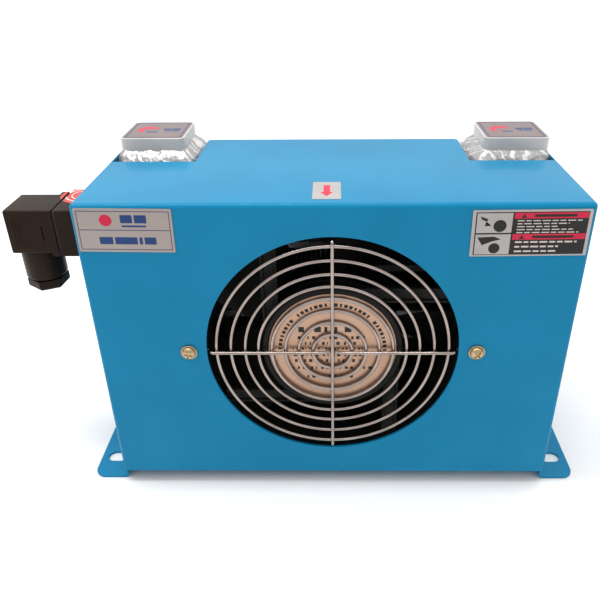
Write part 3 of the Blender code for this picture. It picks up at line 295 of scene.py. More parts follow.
LOOKS = {
    "blue_powder_coat": make_surface(
        "blue_paint", ((0.002, 0.178, 0.338), (0.004, 0.200, 0.374)), (0.16, 0.28), mottle=25.0,
        grain=(2600.0, 0.00003), second_grain=(420.0, 0.00008), specular=0.08, coat=(0.10, 0.07),
        dust=(28.0, 0.012, (0.55, 0.75, 0.85))),
    "core_aluminium": make_surface(
        "brazed_aluminium", ((0.47, 0.475, 0.48), (0.52, 0.52, 0.515)), (0.38, 0.52), mottle=160.0,
        metallic=0.9, grain=(1500.0, 0.00006)),
    "machined_aluminium": make_surface(
        "machined_aluminium", ((0.52, 0.50, 0.49), (0.60, 0.58, 0.56)), (0.36, 0.52), mottle=60.0,
        metallic=0.3, grain=(500.0, 0.00003), stretch=(0.15, 0.15, 4.0)),
    "weld_aluminium": make_weld_surface(),
    "fan_black": make_surface(
        "fan_black", ((0.006, 0.006, 0.006), (0.011, 0.010, 0.010)), (0.32, 0.5), mottle=50.0,
        specular=0.12, grain=(3000.0, 0.00003)),
    "label_foil": make_surface(
        "label_foil", ((0.31, 0.265, 0.245), (0.35, 0.30, 0.28)), (0.34, 0.46), mottle=30.0,
        metallic=0.35, grain=FILM_GRAIN, stretch=(1.0, 1.0, 0.06)),
    # Silver foil given a pink copper colour: painted reflection of warm surroundings.
    "disc_foil": make_surface(
        "disc_foil", ((0.43, 0.26, 0.175), (0.53, 0.34, 0.24)), (0.26, 0.40), mottle=22.0,
        metallic=0.7, grain=FILM_GRAIN, stretch=(1.0, 1.0, 0.06)),
    "steel": make_surface(
        "bright_steel", ((0.42, 0.42, 0.42), (0.55, 0.55, 0.54)), (0.25, 0.42), mottle=120.0,
        metallic=1.0, grain=(1800.0, 0.00003)),
    "copper_winding": make_surface(
        "copper_wire", ((0.50, 0.17, 0.06), (0.66, 0.26, 0.10)), (0.3, 0.45), mottle=200.0,
        metallic=1.0, grain=(1400.0, 0.0002)),
    # The chrome gets a darkened warm brown colour: painted reflection of dark, warm surroundings on
    # the wires.
    "chrome_wire": make_surface(
        "chrome", ((0.30, 0.245, 0.22), (0.42, 0.36, 0.33)), (0.05, 0.12), mottle=70.0,
        metallic=1.0, grain=(1500.0, 0.00001)),
    "yellow_zinc": make_surface(
        "yellow_zinc", ((0.42, 0.29, 0.14), (0.60, 0.46, 0.28)), (0.24, 0.4), mottle=260.0,
        metallic=0.95, grain=(1800.0, 0.00004)),
    # Black plastic with a brown tint: partly its own colour, partly painted warm light falling from
    # above.
    "black_polyamide": make_surface(
        "connector_plastic", ((0.015, 0.008, 0.005), (0.024, 0.013, 0.008)), (0.30, 0.44),
        mottle=45.0, specular=0.08, grain=(3200.0, 0.00004)),
    "black_rubber": make_surface(
        "black_rubber", ((0.008, 0.008, 0.008), (0.014, 0.014, 0.014)), (0.6, 0.75),
        grain=(2500.0, 0.00004)),
    "brass_contact": make_surface(
        "brass", ((0.60, 0.42, 0.16), (0.72, 0.54, 0.24)), (0.22, 0.36), metallic=1.0,
        grain=(1500.0, 0.00002)),
    "cable_sheath": make_surface(
        "cable_sheath", ((0.012, 0.012, 0.012), (0.022, 0.022, 0.022)), (0.42, 0.56),
        grain=(2500.0, 0.00003)),
    "port_film": make_surface(
        "port_film", ((0.175, 0.135, 0.135), (0.205, 0.16, 0.16)), (0.4, 0.52), mottle=60.0,
        metallic=0.2, grain=FILM_GRAIN),
    "silver_film": make_surface(
        "silver_film", ((0.36, 0.335, 0.325), (0.42, 0.39, 0.38)), (0.34, 0.46), mottle=60.0,
        metallic=0.35, grain=FILM_GRAIN),
}
PRINTS = {
    "navy": ((0.020, 0.022, 0.09), (0.026, 0.030, 0.11), 0.35),
    "blue": ((0.010, 0.036, 0.14), (0.014, 0.048, 0.17), 0.35),
    "red": ((0.52, 0.012, 0.045), (0.60, 0.018, 0.06), 0.35),
    "black": ((0.012, 0.011, 0.011), (0.02, 0.018, 0.018), 0.32),
    "cream": ((0.54, 0.48, 0.45), (0.60, 0.54, 0.50), 0.38),
    "coral": ((0.48, 0.040, 0.035), (0.54, 0.055, 0.045), 0.35),
}
for ink, (dark, pale, shine) in PRINTS.items():
    LOOKS["print_" + ink] = make_surface(
        "print_" + ink, (dark, pale), (shine, shine + 0.1), specular=0.25, grain=FILM_GRAIN)


# Outlines: lists of points in a plane, anticlockwise


def rectangle(low_u, high_u, low_v, high_v, radius=0.0, steps=6):
    """A radius rounds the corners."""
    if not radius:
        return [(low_u, low_v), (high_u, low_v), (high_u, high_v), (low_u, high_v)]
    corners = (
        ((high_u - radius, high_v - radius), 0),
        ((low_u + radius, high_v - radius), 90),
        ((low_u + radius, low_v + radius), 180),
        ((high_u - radius, low_v + radius), 270),
    )
    points = []
    for centre, start in corners:
        points += arc(centre, radius, start, start + 90, steps)
    return points


def centred(half_u, half_v, radius=0.0, steps=6):
    return rectangle(-half_u, half_u, -half_v, half_v, radius, steps)


def arc(centre, radius, start_deg, end_deg, steps):
    angles = [radians(start_deg + (end_deg - start_deg) * i / steps) for i in range(steps + 1)]
    return [(centre[0] + radius * cos(a), centre[1] + radius * sin(a)) for a in angles]


def circle(radius, steps=64, centre=(0, 0)):
    return arc(centre, radius, 0, 360, steps)[:-1]


def slot_outline(centre, length, width, steps=12):
    reach = (length - width) / 2
    right = arc((centre[0] + reach, centre[1]), width / 2, -90, 90, steps)
    return right + arc((centre[0] - reach, centre[1]), width / 2, 90, 270, steps)


def turned_outline(outline, degrees, shift=(0, 0)):
    along, across = cos(radians(degrees)), sin(radians(degrees))
    return [(x * along - y * across + shift[0], x * across + y * along + shift[1])
            for x, y in outline]


# Solids, added to a bmesh


def lift(outline, axis, along):
    if axis == "X":
        return [(along, u, v) for u, v in outline]
    if axis == "Y":
        return [(u, along, v) for u, v in outline]
    return [(u, v, along) for u, v in outline]


def loft(bm, loops, ring=False):
    """Joins each loop of points to the next. A ring's last meets its first; others get caps."""
    rows = [[bm.verts.new(point) for point in loop] for loop in loops]
    pairs = list(zip(rows, rows[1:]))
    if ring:
        pairs.append((rows[-1], rows[0]))
    else:
        bm.faces.new(rows[0])
        bm.faces.new(rows[-1])
    for row, following in pairs:
        for i in range(len(row)):
            j = (i + 1) % len(row)
            bm.faces.new((row[i], row[j], following[j], following[i]))


def prism(bm, outline, axis, low, high):
    loft(bm, [lift(outline, axis, low), lift(outline, axis, high)])


def pipe(bm, outer, inner, axis, low, high):
    levels = ((outer, low), (outer, high), (inner, high), (inner, low))
    loft(bm, [lift(outline, axis, along) for outline, along in levels], ring=True)


def turned(bm, profile, steps=64, ring=False):
    loft(bm, [lift(circle(radius, steps), "Z", height) for radius, height in profile], ring)


def block(bm, low, high):
    prism(bm, rectangle(low[0], high[0], low[1], high[1]), "Z", low[2], high[2])


def one(shape, *details, **more):
    """A new bmesh that holds one solid."""
    bm = bmesh.new()
    shape(bm, *details, **more)
    return bm


def scaled(rows):
    """Rows of millimetres, in metres."""
    return [tuple(value * MM for value in row) for row in rows]


def quarter_round(radius, steps):
    """How far an edge's rounding lies from the side and from the end, step by step."""
    angles = [pi / 2 * step / steps for step in range(1, steps + 1)]
    return [(radius * (1 - cos(a)), radius * (1 - sin(a))) for a in angles]


def bars(boxes, axis, low, high, radius=0.0, steps=6):
    """A new bmesh that holds flat bars. The boxes are in millimetres."""
    bm = bmesh.new()
    for box in scaled(boxes):
        prism(bm, rectangle(*box, radius, steps), axis, low, high)
    return bm


def rod_along(bm, path, radius, side_direction, sides=12, closed=False):
    """A round bar along points in one plane; side_direction is the plane's normal."""
    side = Vector(side_direction)
    count = len(path)
    loops = []
    for i in range(count):
        before = path[(i - 1) % count] if closed else path[max(i - 1, 0)]
        after = path[(i + 1) % count] if closed else path[min(i + 1, count - 1)]
        heading = (Vector(after) - Vector(before)).normalized()
        up = heading.cross(side)
        place = Vector(path[i])
        loops.append([place + u * up + v * side for u, v in circle(radius, sides)])
    loft(bm, loops, ring=closed)


# Objects


def mesh_from(name, bm):
    mesh = bpy.data.meshes.new(name)
    bm.to_mesh(mesh)
    bm.free()
    return mesh


def add_object(name, data):
    obj = bpy.data.objects.new(name, data)
    bpy.context.scene.collection.objects.link(obj)
    return obj


def add_piece(name, bm, look, body="housing", place=None, smooth=SMOOTH_DEG, **details):
    """A finished piece from a bmesh."""
    bmesh.ops.recalc_face_normals(bm, faces=bm.faces)
    mesh = mesh_from(name, bm)
    smooth_again(mesh, smooth)
    mesh.materials.append(LOOKS[look])
    return place_piece(name, mesh, look, body, place, **details)


def place_piece(name, mesh, look, body="housing", place=None, slot=None, replaces=(), edge=None,
                parent=None):
    """edge is (width, segments) of a bevel on the piece's sharp edges."""
    obj = add_object(name, mesh)
    obj.matrix_world = Matrix.Translation(ORIGIN) @ (place or Matrix.Identity(4))
    if edge:
        round_edges(obj, *edge)
    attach(obj, body)
    if replaces:
        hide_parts(*replaces)
    if parent:
        obj.parent = parent
        obj.matrix_parent_inverse = parent.matrix_world.inverted()
    return obj


def round_edges(obj, width, segments=2):
    modifier = obj.modifiers.new("edges", "BEVEL")
    modifier.width = width
    modifier.segments = segments
    modifier.limit_method = "ANGLE"
    modifier.angle_limit = radians(EDGE_DEG)
    modifier.use_clamp_overlap = True
    modifier.harden_normals = True


def cut(obj, bm, overlapping=False):
    """Cuts a helper shape, in the piece's own coordinates, out of the piece."""
    bmesh.ops.recalc_face_normals(bm, faces=bm.faces)
    helper = add_object("helper", mesh_from("helper", bm))
    helper.matrix_world = obj.matrix_world
    modifier = obj.modifiers.new("cut", "BOOLEAN")
    modifier.operation = "DIFFERENCE"
    modifier.solver = "EXACT"
    modifier.use_self = overlapping
    modifier.object = helper
    apply_modifier(obj)
    bpy.data.objects.remove(helper)


def apply_modifier(obj):
    """Applies the piece's only modifier."""
    bpy.context.view_layer.update()
    graph = bpy.context.evaluated_depsgraph_get()
    mesh = bpy.data.meshes.new_from_object(obj.evaluated_get(graph))
    mesh.name = obj.name
    obj.data = mesh
    obj.modifiers.clear()
    smooth_again(mesh)


def smooth_again(mesh, degrees=SMOOTH_DEG):
    mesh.shade_smooth()
    mesh.set_sharp_from_angle(angle=radians(degrees))


# Housing


def fold_sheet():
    """The outer faces of the housing, with rounded folds and feet."""
    bm = bmesh.new()
    corners = {}
    for side in (-1, 1):
        wall = side * HALF_WIDTH
        foot = side * FOOT_HALF_SPAN
        places = {
            "front_low": (wall, 0, PANEL_BOTTOM), "front_high": (wall, 0, TOP),
            "back_high": (wall, DEPTH, TOP), "back_low": (wall, DEPTH, SHEET),
            "foot_fold": (wall, FOOT_FRONT, SHEET), "step": (wall, FOOT_FRONT, PANEL_BOTTOM),
            "foot_back": (foot, DEPTH, SHEET), "foot_front": (foot, FOOT_FRONT, SHEET),
        }
        corners[side] = {name: bm.verts.new(place) for name, place in places.items()}
    left, right = corners[-1], corners[1]
    bm.faces.new((left["front_low"], right["front_low"], right["front_high"], left["front_high"]))
    bm.faces.new((left["front_high"], right["front_high"], right["back_high"], left["back_high"]))
    wall = ("front_low", "front_high", "back_high", "back_low", "foot_fold", "step")
    foot = ("foot_fold", "back_low", "foot_back", "foot_front")
    housing_folds = [bm.edges.get((left["front_high"], right["front_high"]))]
    foot_folds, tips = [], []
    for corner, turn in ((left, 1), (right, -1)):
        for names in (wall, foot):
            bm.faces.new([corner[name] for name in names][::turn])
        for name in ("front_low", "back_high"):
            housing_folds.append(bm.edges.get((corner["front_high"], corner[name])))
        foot_folds.append(bm.edges.get((corner["foot_fold"], corner["back_low"])))
        tips += [corner["foot_back"], corner["foot_front"]]
    for geometry, offset, segments, affect in ((tips, FOOT_CORNER_R, 10, "VERTICES"),
                                               (housing_folds, BEND, 8, "EDGES"),
                                               (foot_folds, FOOT_BEND, 8, "EDGES")):
        bmesh.ops.bevel(bm, geom=geometry, offset=offset, segments=segments, affect=affect,
                        offset_type="OFFSET", profile=0.5, clamp_overlap=False)
    return bm


def notch_outline(side):
    wall = HALF_WIDTH - SHEET - 0.2 * MM
    corner_r = 3.0 * MM
    inner_r = 1.2 * MM
    points = [(wall, NOTCH_Y), (wall, DEPTH + 4 * MM), (NOTCH_X - corner_r, DEPTH + 4 * MM)]
    points += arc((NOTCH_X - corner_r, DEPTH - corner_r), corner_r, 90, 0, 10)
    points += arc((NOTCH_X + inner_r, NOTCH_Y + inner_r), inner_r, 180, 270, 6)
    return [(side * x, y) for x, y in points]


def build_housing():
    housing = add_piece("housing", fold_sheet(), "blue_powder_coat", replaces=["housing_shroud"])
    thickness = housing.modifiers.new("sheet", "SOLIDIFY")
    thickness.thickness = SHEET
    thickness.offset = -1
    thickness.use_even_offset = True
    apply_modifier(housing)
    reach = 5 * MM
    bm = one(prism, circle(FAN_HOLE_R, 180, (0, FAN_Z)), "Y", -reach, reach)
    for _, side in SIDES:
        screw_hole = circle(FAN_SCREW_HOLE_R, 24, (side * FAN_SCREW_X, FAN_Z))
        prism(bm, screw_hole, "Y", -reach, reach)
        prism(bm, notch_outline(side), "Z", TOP - 8 * MM, TOP + reach)
        for y in (SLOT_Y, DEPTH + FOOT_FRONT - SLOT_Y):
            slot = slot_outline((side * SLOT_X, y), *SLOT_SIZE)
            prism(bm, slot, "Z", -3 * MM, SHEET + 1 * MM)
        wall = (side * (HALF_WIDTH - 4 * MM), side * (HALF_WIDTH + 4 * MM))
        for z in CORE_BOLT_Z:
            prism(bm, circle(CORE_BOLT_HOLE_R, 24, (CORE_BOLT_Y, z)), "X", *wall)
    lead_hole = circle(LEAD_HOLE_R, 24, LEAD_HOLE)
    prism(bm, lead_hole, "X", -HALF_WIDTH - 4 * MM, -HALF_WIDTH + 4 * MM)
    cut(housing, bm)
    round_edges(housing, 0.22 * MM)


# Core


def tube_centre(index):
    gap = 0.3 * MM
    plate = 2.0 * MM
    tube = 4.0 * MM
    stack = CORE_TOP - CORE_BOTTOM - 2 * (plate + gap) - TUBES * (tube + 2 * gap)
    height = stack / (TUBES + 1)
    pitch = height + tube + 2 * gap
    return CORE_BOTTOM + plate + gap + height + gap + tube / 2 + index * pitch, height


def build_tanks():
    """Header tanks: a bar frame with a side plate brazed on, seen as a fine joint line."""
    groove = 0.35 * MM
    levels = (CORE_FRONT, CORE_FRONT + 6 * MM, CORE_FRONT + 6.5 * MM,
              CORE_BACK - 6.5 * MM, CORE_BACK - 6 * MM, CORE_BACK)
    for name, side in SIDES:
        bm = bmesh.new()
        low_x, high_x = sorted((side * TANK_INNER_X, side * TANK_OUTER_X))
        for index, span in enumerate(zip(levels, levels[1:])):
            inset = groove if index % 2 else 0
            outline = rectangle(low_x + inset, high_x - inset,
                                CORE_BOTTOM + inset, CORE_TOP - inset)
            prism(bm, outline, "Y", *span)
        add_piece(f"tank_{name}", bm, "core_aluminium", replaces=[f"core_tank_{name}"],
                  edge=(0.4 * MM, 2))


def fin_sheet(bm, height, folds, reach):
    """One wavy fin strip: a thin folded sheet whose folds snake from front to back."""
    rows = 27
    skin = 0.12 * MM
    crest = height / 2 - 0.1 * MM
    shape = []
    for i in range(folds * 2 + 1):
        x = -reach + reach * i / folds
        z = crest if i % 2 else -crest
        shape += [(x - 0.28 * reach / folds, z), (x + 0.28 * reach / folds, z)]
    loops = []
    for j in range(rows):
        t = j / (rows - 1)
        y = (CORE_BACK - CORE_FRONT - 0.6 * MM) * (t - 0.5)
        sway = 0.55 * MM * sin(2 * pi * 4 * t)
        over = [(x + sway, y, z + skin) for x, z in shape]
        under = [(x + sway, y, z - skin) for x, z in shape]
        loops.append(over + under[::-1])
    loft(bm, loops)


def build_fins():
    """The layers share one mesh."""
    centre, height = tube_centre(0)
    offset = height / 2 + 2.3 * MM
    sheet = one(fin_sheet, height, 50, TANK_INNER_X - 1.3 * MM)
    for index in range(TUBES + 1):
        z = tube_centre(index - 1)[0] + offset if index else centre - offset
        name = f"fin_layer_{index + 1}"
        place = at(0, (CORE_FRONT + CORE_BACK) / 2, z)
        more = {"place": place, "replaces": [f"air_fin_{index + 1}"]}
        if index:
            place_piece(name, first.data, "core_aluminium", **more)
        else:
            first = add_piece(name, sheet, "core_aluminium", smooth=50, **more)


def port_outline(spread, steps=8):
    half_x, half_y = PORT_HALF
    return centred(half_x + spread, half_y + spread, PORT_CORNER_R + spread, steps)


def build_ports():
    """Machined blocks, each under a plain peel-off sticker that covers its bore."""
    top = PORT_TOP - 0.14 * MM
    edge = 0.3 * MM
    levels = [(port_outline(0), CORE_TOP + 0.3 * MM), (port_outline(0), top - edge)]
    levels += [(port_outline(-inset), top - drop) for inset, drop in quarter_round(edge, 4)]
    outer, inner = centred(16.9 * MM, 16.6 * MM, 0.6 * MM), centred(16.3 * MM, 16.0 * MM, 0.3 * MM)
    crescent = arc((-6.4 * MM, 0.6 * MM), 6.4 * MM, 20, 245, 24)
    crescent += arc((-6.0 * MM, -0.6 * MM), 3.6 * MM, 235, 30, 18)
    boxes = ((-6.5, 0.2, -5.6, -3.4), (3.2, 7.6, -1.0, 3.0), (8.2, 13.6, -1.0, 3.0),
             (4.0, 13.0, -3.4, -2.2))
    film = (top + 0.005 * MM, PORT_TOP - 0.04 * MM)
    ink = (PORT_TOP - 0.039 * MM, PORT_TOP - 0.01 * MM)
    for name, side in SIDES:
        place = at(*PORT_CENTRES[side], 0)
        bm = one(loft, [lift(points, "Z", height) for points, height in levels])
        add_piece(f"port_{name}", bm, "machined_aluminium", place=place, slot="core_aluminium",
                  replaces=[f"port_boss_{name}"])
        for part, look, bm in (
            ("", "port_film", one(prism, port_outline(-1.0 * MM), "Z", *film)),
            ("_border", "print_navy", one(pipe, outer, inner, "Z", *ink)),
            ("_mark", "print_red", one(prism, crescent, "Z", *ink)),
            ("_bars", "print_blue", bars(boxes, "Z", *ink, 0.5 * MM)),
        ):
            add_piece(f"port_sticker{part}_{name}", bm, look, place=place, slot="label_foil")


WELDS = {
    -1: {"beads": 46, "front": 6.8 * MM, "outward": 1.9 * MM, "ripple": 0.42 * MM, "curl": 1.3},
    1: {"beads": 30, "front": 5.4 * MM, "outward": 0.75 * MM, "ripple": 0.34 * MM, "curl": 2.0},
}


def weld_reach(x, y, side):
    """How far the weld stands out from the port at a place on its edge."""
    inward, back = 9.2 * MM, 6.9 * MM
    toward_wall = x * side > 0
    sideways = WELDS[side]["outward"] if toward_wall else inward
    along = abs(y) / PORT_HALF[1]
    ends = WELDS[side]["front"] if y < 0 else back
    share = max(0, min(1, (abs(x) / PORT_HALF[0] - 0.86) / 0.14))
    if along < 0.86:
        return sideways
    return ends + (sideways - ends) * share * 0.5


def build_welds():
    """A rippled fillet bead round each port."""
    around, levels = 660, 24
    window = range(-16, 17, 2)
    for name, side in SIDES:
        outline = dense_outline(port_outline(0, 12), around)
        reaches = [weld_reach(x, y, side) for x, y in outline]
        reaches = [sum(reaches[(i + d) % around] for d in window) / len(window)
                   for i in range(around)]
        loops = []
        for k in range(levels):
            t = k / (levels - 1)
            loops.append([weld_point(outline, i, t, side, reaches[i]) for i in range(around)])
        inner = [(x * 0.97, y * 0.97) for x, y in outline]
        loops += [lift(inner, "Z", WELD_BOTTOM + WELD_HEIGHT * 0.9), lift(inner, "Z", WELD_BOTTOM)]
        place = at(*PORT_CENTRES[side], 0)
        add_piece(f"weld_{name}", one(loft, loops, ring=True), "weld_aluminium", place=place,
                  replaces=[f"port_weld_{name}"], smooth=75)


def dense_outline(outline, count):
    """The same closed outline with evenly spaced points."""
    lengths = [0.0]
    closed = outline + outline[:1]
    for a, b in zip(closed, closed[1:]):
        lengths.append(lengths[-1] + dist(a, b))
    points = []
    k = 0
    for i in range(count):
        s = lengths[-1] * i / count
        while lengths[k + 1] < s:
            k += 1
        share = (s - lengths[k]) / max(lengths[k + 1] - lengths[k], 1e-9)
        a, b = closed[k], closed[k + 1]
        points.append((a[0] + (b[0] - a[0]) * share, a[1] + (b[1] - a[1]) * share))
    return points


def weld_point(outline, i, t, side, reach):
    """t runs from 0 at the toe to 1 at the port's face."""
    weld = WELDS[side]
    count = len(outline)
    x, y = outline[i]
    before, after = outline[i - 3], outline[(i + 3) % count]
    heading = Vector((after[0] - before[0], after[1] - before[1])).normalized()
    outward = Vector((heading.y, -heading.x))
    warp = noise.noise(Vector((x * 130, y * 130, side * 3.0 + t * 0.8)))
    phase = weld["beads"] * i / count + weld["curl"] * (t - 0.35) ** 2 + 0.7 * warp
    ripple = abs(sin(pi * phase)) ** 0.75
    swirl = noise.noise(Vector((x * 330, y * 330, 5 * t + side)))
    wave = noise.noise(Vector((x * 210, y * 210, 9.0 + side)))
    top = WELD_HEIGHT * (0.94 + 0.09 * wave)
    inboard = max(0.0, -x * side / PORT_HALF[0] - 0.9) * 10
    calm = 1 - 0.7 * min(1.0, inboard)
    depth = (weld["ripple"] * ripple + 0.28 * MM * swirl) * calm
    depth *= sin(pi * min(t * 0.94 + 0.12, 1)) ** 0.7 * min(1, reach / (4 * MM))
    profile = (1 - t) + 0.14 * sin(pi * (1 - t))
    out = reach * profile * 0.95 + depth - 0.12 * MM
    return (x + outward.x * out, y + outward.y * out, WELD_BOTTOM + top * t + depth * 0.6)


def build_core_bolts():
    """Flanged hexagon bolts through the side walls into the tanks."""
    flange = scaled([(3.0, -7.4), (3.0, 0), (7.0, 0), (7.0, 0.7), (6.6, 1.1), (5.6, 1.5)])
    head = scaled([(5.6, 1.0), (5.6, 5.2), (5.0, 5.7)])
    for end, side in SIDES:
        turn = Matrix.Rotation(side * pi / 2, 4, "Y")
        for label, z in zip(("lower", "upper"), CORE_BOLT_Z):
            place = at(side * (HALF_WIDTH + 0.05 * MM), CORE_BOLT_Y, z) @ turn
            bolt = add_piece(f"bolt_{end}_{label}", one(turned, flange), "steel", place=place,
                             replaces=[f"core_bolt_{end}_{label}"])
            add_piece(f"bolt_head_{end}_{label}", one(turned, head, 6), "steel", place=place,
                      edge=(0.35 * MM, 3), parent=bolt)


# Fan


def frame_outline(radius, steps=180):
    points = []
    for i in range(steps):
        angle = 2 * pi * (i + 0.5) / steps
        reach = min(radius, FRAME_HALF_HEIGHT / max(abs(sin(angle)), 1e-6))
        points.append((reach * cos(angle), reach * sin(angle)))
    return points


def build_fan_frame():
    """The duct, the fixed hub and the four struts that hold it."""
    duct, lip = frame_outline(DUCT_R), frame_outline(DUCT_R + 1.2 * MM)
    waist, flange = frame_outline(WAIST_R), frame_outline(FRAME_R)
    levels = (
        (duct, 1.2 * MM), (frame_outline(DUCT_R + 0.35 * MM), 0.35 * MM), (lip, 0),
        (flange, 0), (flange, FLANGE), (waist, FLANGE + 1 * MM),
        (waist, FAN_DEPTH - FLANGE - 1 * MM), (flange, FAN_DEPTH - FLANGE), (flange, FAN_DEPTH),
        (lip, FAN_DEPTH), (duct, FAN_DEPTH - 1.2 * MM),
    )
    bm = one(loft, [lift(points, "Z", along) for points, along in levels], ring=True)
    duct_piece = add_piece("fan_duct", bm, "fan_black", place=FAN_PLACE, replaces=["fan_frame"])
    bm = bmesh.new()
    for _, side in SIDES:
        prism(bm, circle(2.15 * MM, 24, (side * FAN_SCREW_X, 0)), "Z", -1 * MM, FLANGE + 2 * MM)
    notch = rectangle(DUCT_R - 2 * MM, 74.4 * MM, -1.5 * MM, 1.5 * MM)
    for quarter in range(4):
        prism(bm, turned_outline(notch, 90 * quarter), "Z", -1 * MM, 3.0 * MM)
    cut(duct_piece, bm)
    round_edges(duct_piece, 0.3 * MM)
    profile = [
        (DISC_R + 0.2 * MM, 1.5 * MM), (DISC_R + 0.2 * MM, 0.5 * MM), (DISC_R + 0.7 * MM, 0.1 * MM),
        (HUB_R - 1.0 * MM, 0.1 * MM), (HUB_R - 0.3 * MM, 0.4 * MM), (HUB_R, 1.1 * MM),
        (HUB_R, 9.0 * MM),
    ]
    profile += scaled([(38.6, 9.0), (38.6, 6.0), (9.2, 6.0), (9.2, 36.0), (6.8, 36.0), (6.8, 4.0)])
    add_piece("fan_hub", one(turned, profile, 128), "fan_black", place=FAN_PLACE)
    low, high = STRUT_OFFSET - STRUT_WIDTH / 2, STRUT_OFFSET + STRUT_WIDTH / 2
    rail = 1.6 * MM
    rails = ((low, low + rail, 1.8), (low + rail, high - rail, 3.0), (high - rail, high, 1.8))
    for quarter in range(4):
        bm = bmesh.new()
        for inner, outer, face in rails:
            corners = [(x, -y) for x, y in rectangle(7.0 * MM, 63.5 * MM, inner, outer)]
            prism(bm, turned_outline(corners, 90 * quarter), "Z", face * MM, 4.8 * MM)
        add_piece(f"fan_strut_{quarter + 1}", bm, "fan_black", place=FAN_PLACE,
                  edge=(0.35 * MM, 2))


def build_disc():
    """The round label plate on the hub, with rings and plain dashes."""
    rim = DISC_R - 2.4 * MM
    profile = [(DISC_R, 1.2 * MM), (DISC_R, 0.45 * MM), (DISC_R - 0.5 * MM, 0.1 * MM),
               (rim + 0.9 * MM, 0.1 * MM), (rim + 0.5 * MM, 0.32 * MM), (rim, 0.32 * MM),
               (rim - 0.5 * MM, 0.22 * MM)]
    add_piece("hub_plate", one(turned, profile, 128), "disc_foil", place=FAN_PLACE,
              slot="label_foil", replaces=["fan_hub_disc"])
    bm = bmesh.new()
    ink = (0.16 * MM, 0.215 * MM)
    for k in range(34):
        if k in (8, 16, 25):
            continue
        angle = -88 + 5.4 * k
        half = 1.9 if k % 3 else 1.2
        outer = arc((0, 0), 30.6 * MM, angle - half, angle + half, 3)
        inner = arc((0, 0), 28.6 * MM, angle + half, angle - half, 3)
        prism(bm, turned_outline(outer + inner, -90), "Z", *ink)
    rows = ((-13.6, 19.0, 4.2, 1.7), (-8.2, 19.5, 2.0, 1.0), (-4.4, 15.5, 2.0, 1.0),
            (-0.8, 22.5, 1.5, 0.7), (3.4, 22.0, 2.0, 1.0), (7.4, 21.5, 2.0, 1.0),
            (12.4, 23.0, 2.2, 0.9), (18.6, 14.5, 2.0, 0.9))
    for row, (v, reach, wide, tall) in enumerate(rows):
        along = -reach
        index = row
        while along < reach - wide:
            end = along + wide * (0.62 + 0.34 * sin(1.7 * index + 0.4))
            bar = rectangle(along * MM, end * MM, (v - tall) * MM, (v + tall) * MM)
            prism(bm, bar, "Z", *ink)
            along += wide * (1.35 if index % 4 else 2.1)
            index += 1
    add_piece("hub_plate_print", bm, "print_black", place=FAN_PLACE, slot="label_foil")


def blade_loop(radius_share, root_angle):
    """One section of a blade at a share of the way from root to tip, as a closed thin loop."""
    columns = 18
    root_r = CUP_R + 1.2 * MM
    radius = root_r + (BLADE_TIP_R - root_r) * radius_share
    sweep = radians(44 - 6 * radius_share)
    near, far = [], []
    for j in range(columns + 1):
        t = j / columns
        angle = root_angle + sweep * (t - 0.5) + radians(4) * radius_share
        camber = 2.2 * MM * sin(pi * t)
        along = BLADE_SPAN[0] + (BLADE_SPAN[1] - BLADE_SPAN[0]) * t + camber
        thick = 0.15 * MM + 0.45 * MM * sin(pi * min(1, 0.04 + t * 0.92)) ** 0.5
        place = (radius * cos(angle), radius * sin(angle))
        near.append((*place, along - thick))
        far.append((*place, along + thick))
    return near + far[::-1]


def build_impeller():
    sleeve = scaled([(37.3, 11.5), (38.6, 11.5), (39.0, 12.0), (39.0, 36.5), (38.6, 37.0),
                     (37.3, 37.0)])
    hub = add_piece("impeller", one(turned, sleeve, 128, ring=True), "fan_black", "fan_rotor",
                    FAN_PLACE, replaces=["fan_impeller"])
    for index in range(BLADES):
        loops = [blade_loop(i / 14, 2 * pi * index / BLADES) for i in range(15)]
        add_piece(f"blade_{index + 1}", one(loft, loops), "fan_black", "fan_rotor", FAN_PLACE,
                  smooth=60, parent=hub)


# Finger guard and fan screws


def build_guard():
    """Concentric rings, and two crossing wires whose ends bend back to the fan's frame."""
    place = at(0, GUARD_Y, FAN_Z)
    for index, radius in enumerate(GUARD_RADII):
        path = [(u, 0, v) for u, v in circle(radius, max(72, round(radius / MM * 2.4)))]
        bm = one(rod_along, path, WIRE_R, (0, 1, 0), 14, closed=True)
        add_piece(f"guard_ring_{index + 1}", bm, "chrome_wire", place=place,
                  replaces=() if index else ["finger_guard"])
    front = CROSS_WIRE_Y - GUARD_Y
    back = GUARD_FOOT_Y - GUARD_Y
    bend = 1.8 * MM
    angles = [pi / 2 * k / 6 for k in range(7)]
    half = [(GUARD_LEG_R - bend + bend * sin(a), front + bend * (1 - cos(a)))
            for a in angles]
    half += [(GUARD_LEG_R + bend * (1 - cos(a)), back - bend + bend * sin(a))
             for a in angles]
    half += [(73.9 * MM, back)]
    other = [(-reach, y) for reach, y in half[::-1]]
    dip = [(-6, 0), (-3, 0.9), (-1.6, 1.75), (1.6, 1.75), (3, 0.9), (6, 0)]
    dip = [(x * MM, front + d * MM) for x, d in dip]
    across = [(u, y, 0) for u, y in other + dip + half]
    upright = [(0, y, u) for u, y in other + half]
    for name, path, normal in (("across", across, (0, 0, 1)), ("upright", upright, (1, 0, 0))):
        add_piece(f"guard_wire_{name}", one(rod_along, path, WIRE_R, normal, 14), "chrome_wire",
                  place=place, smooth=50)


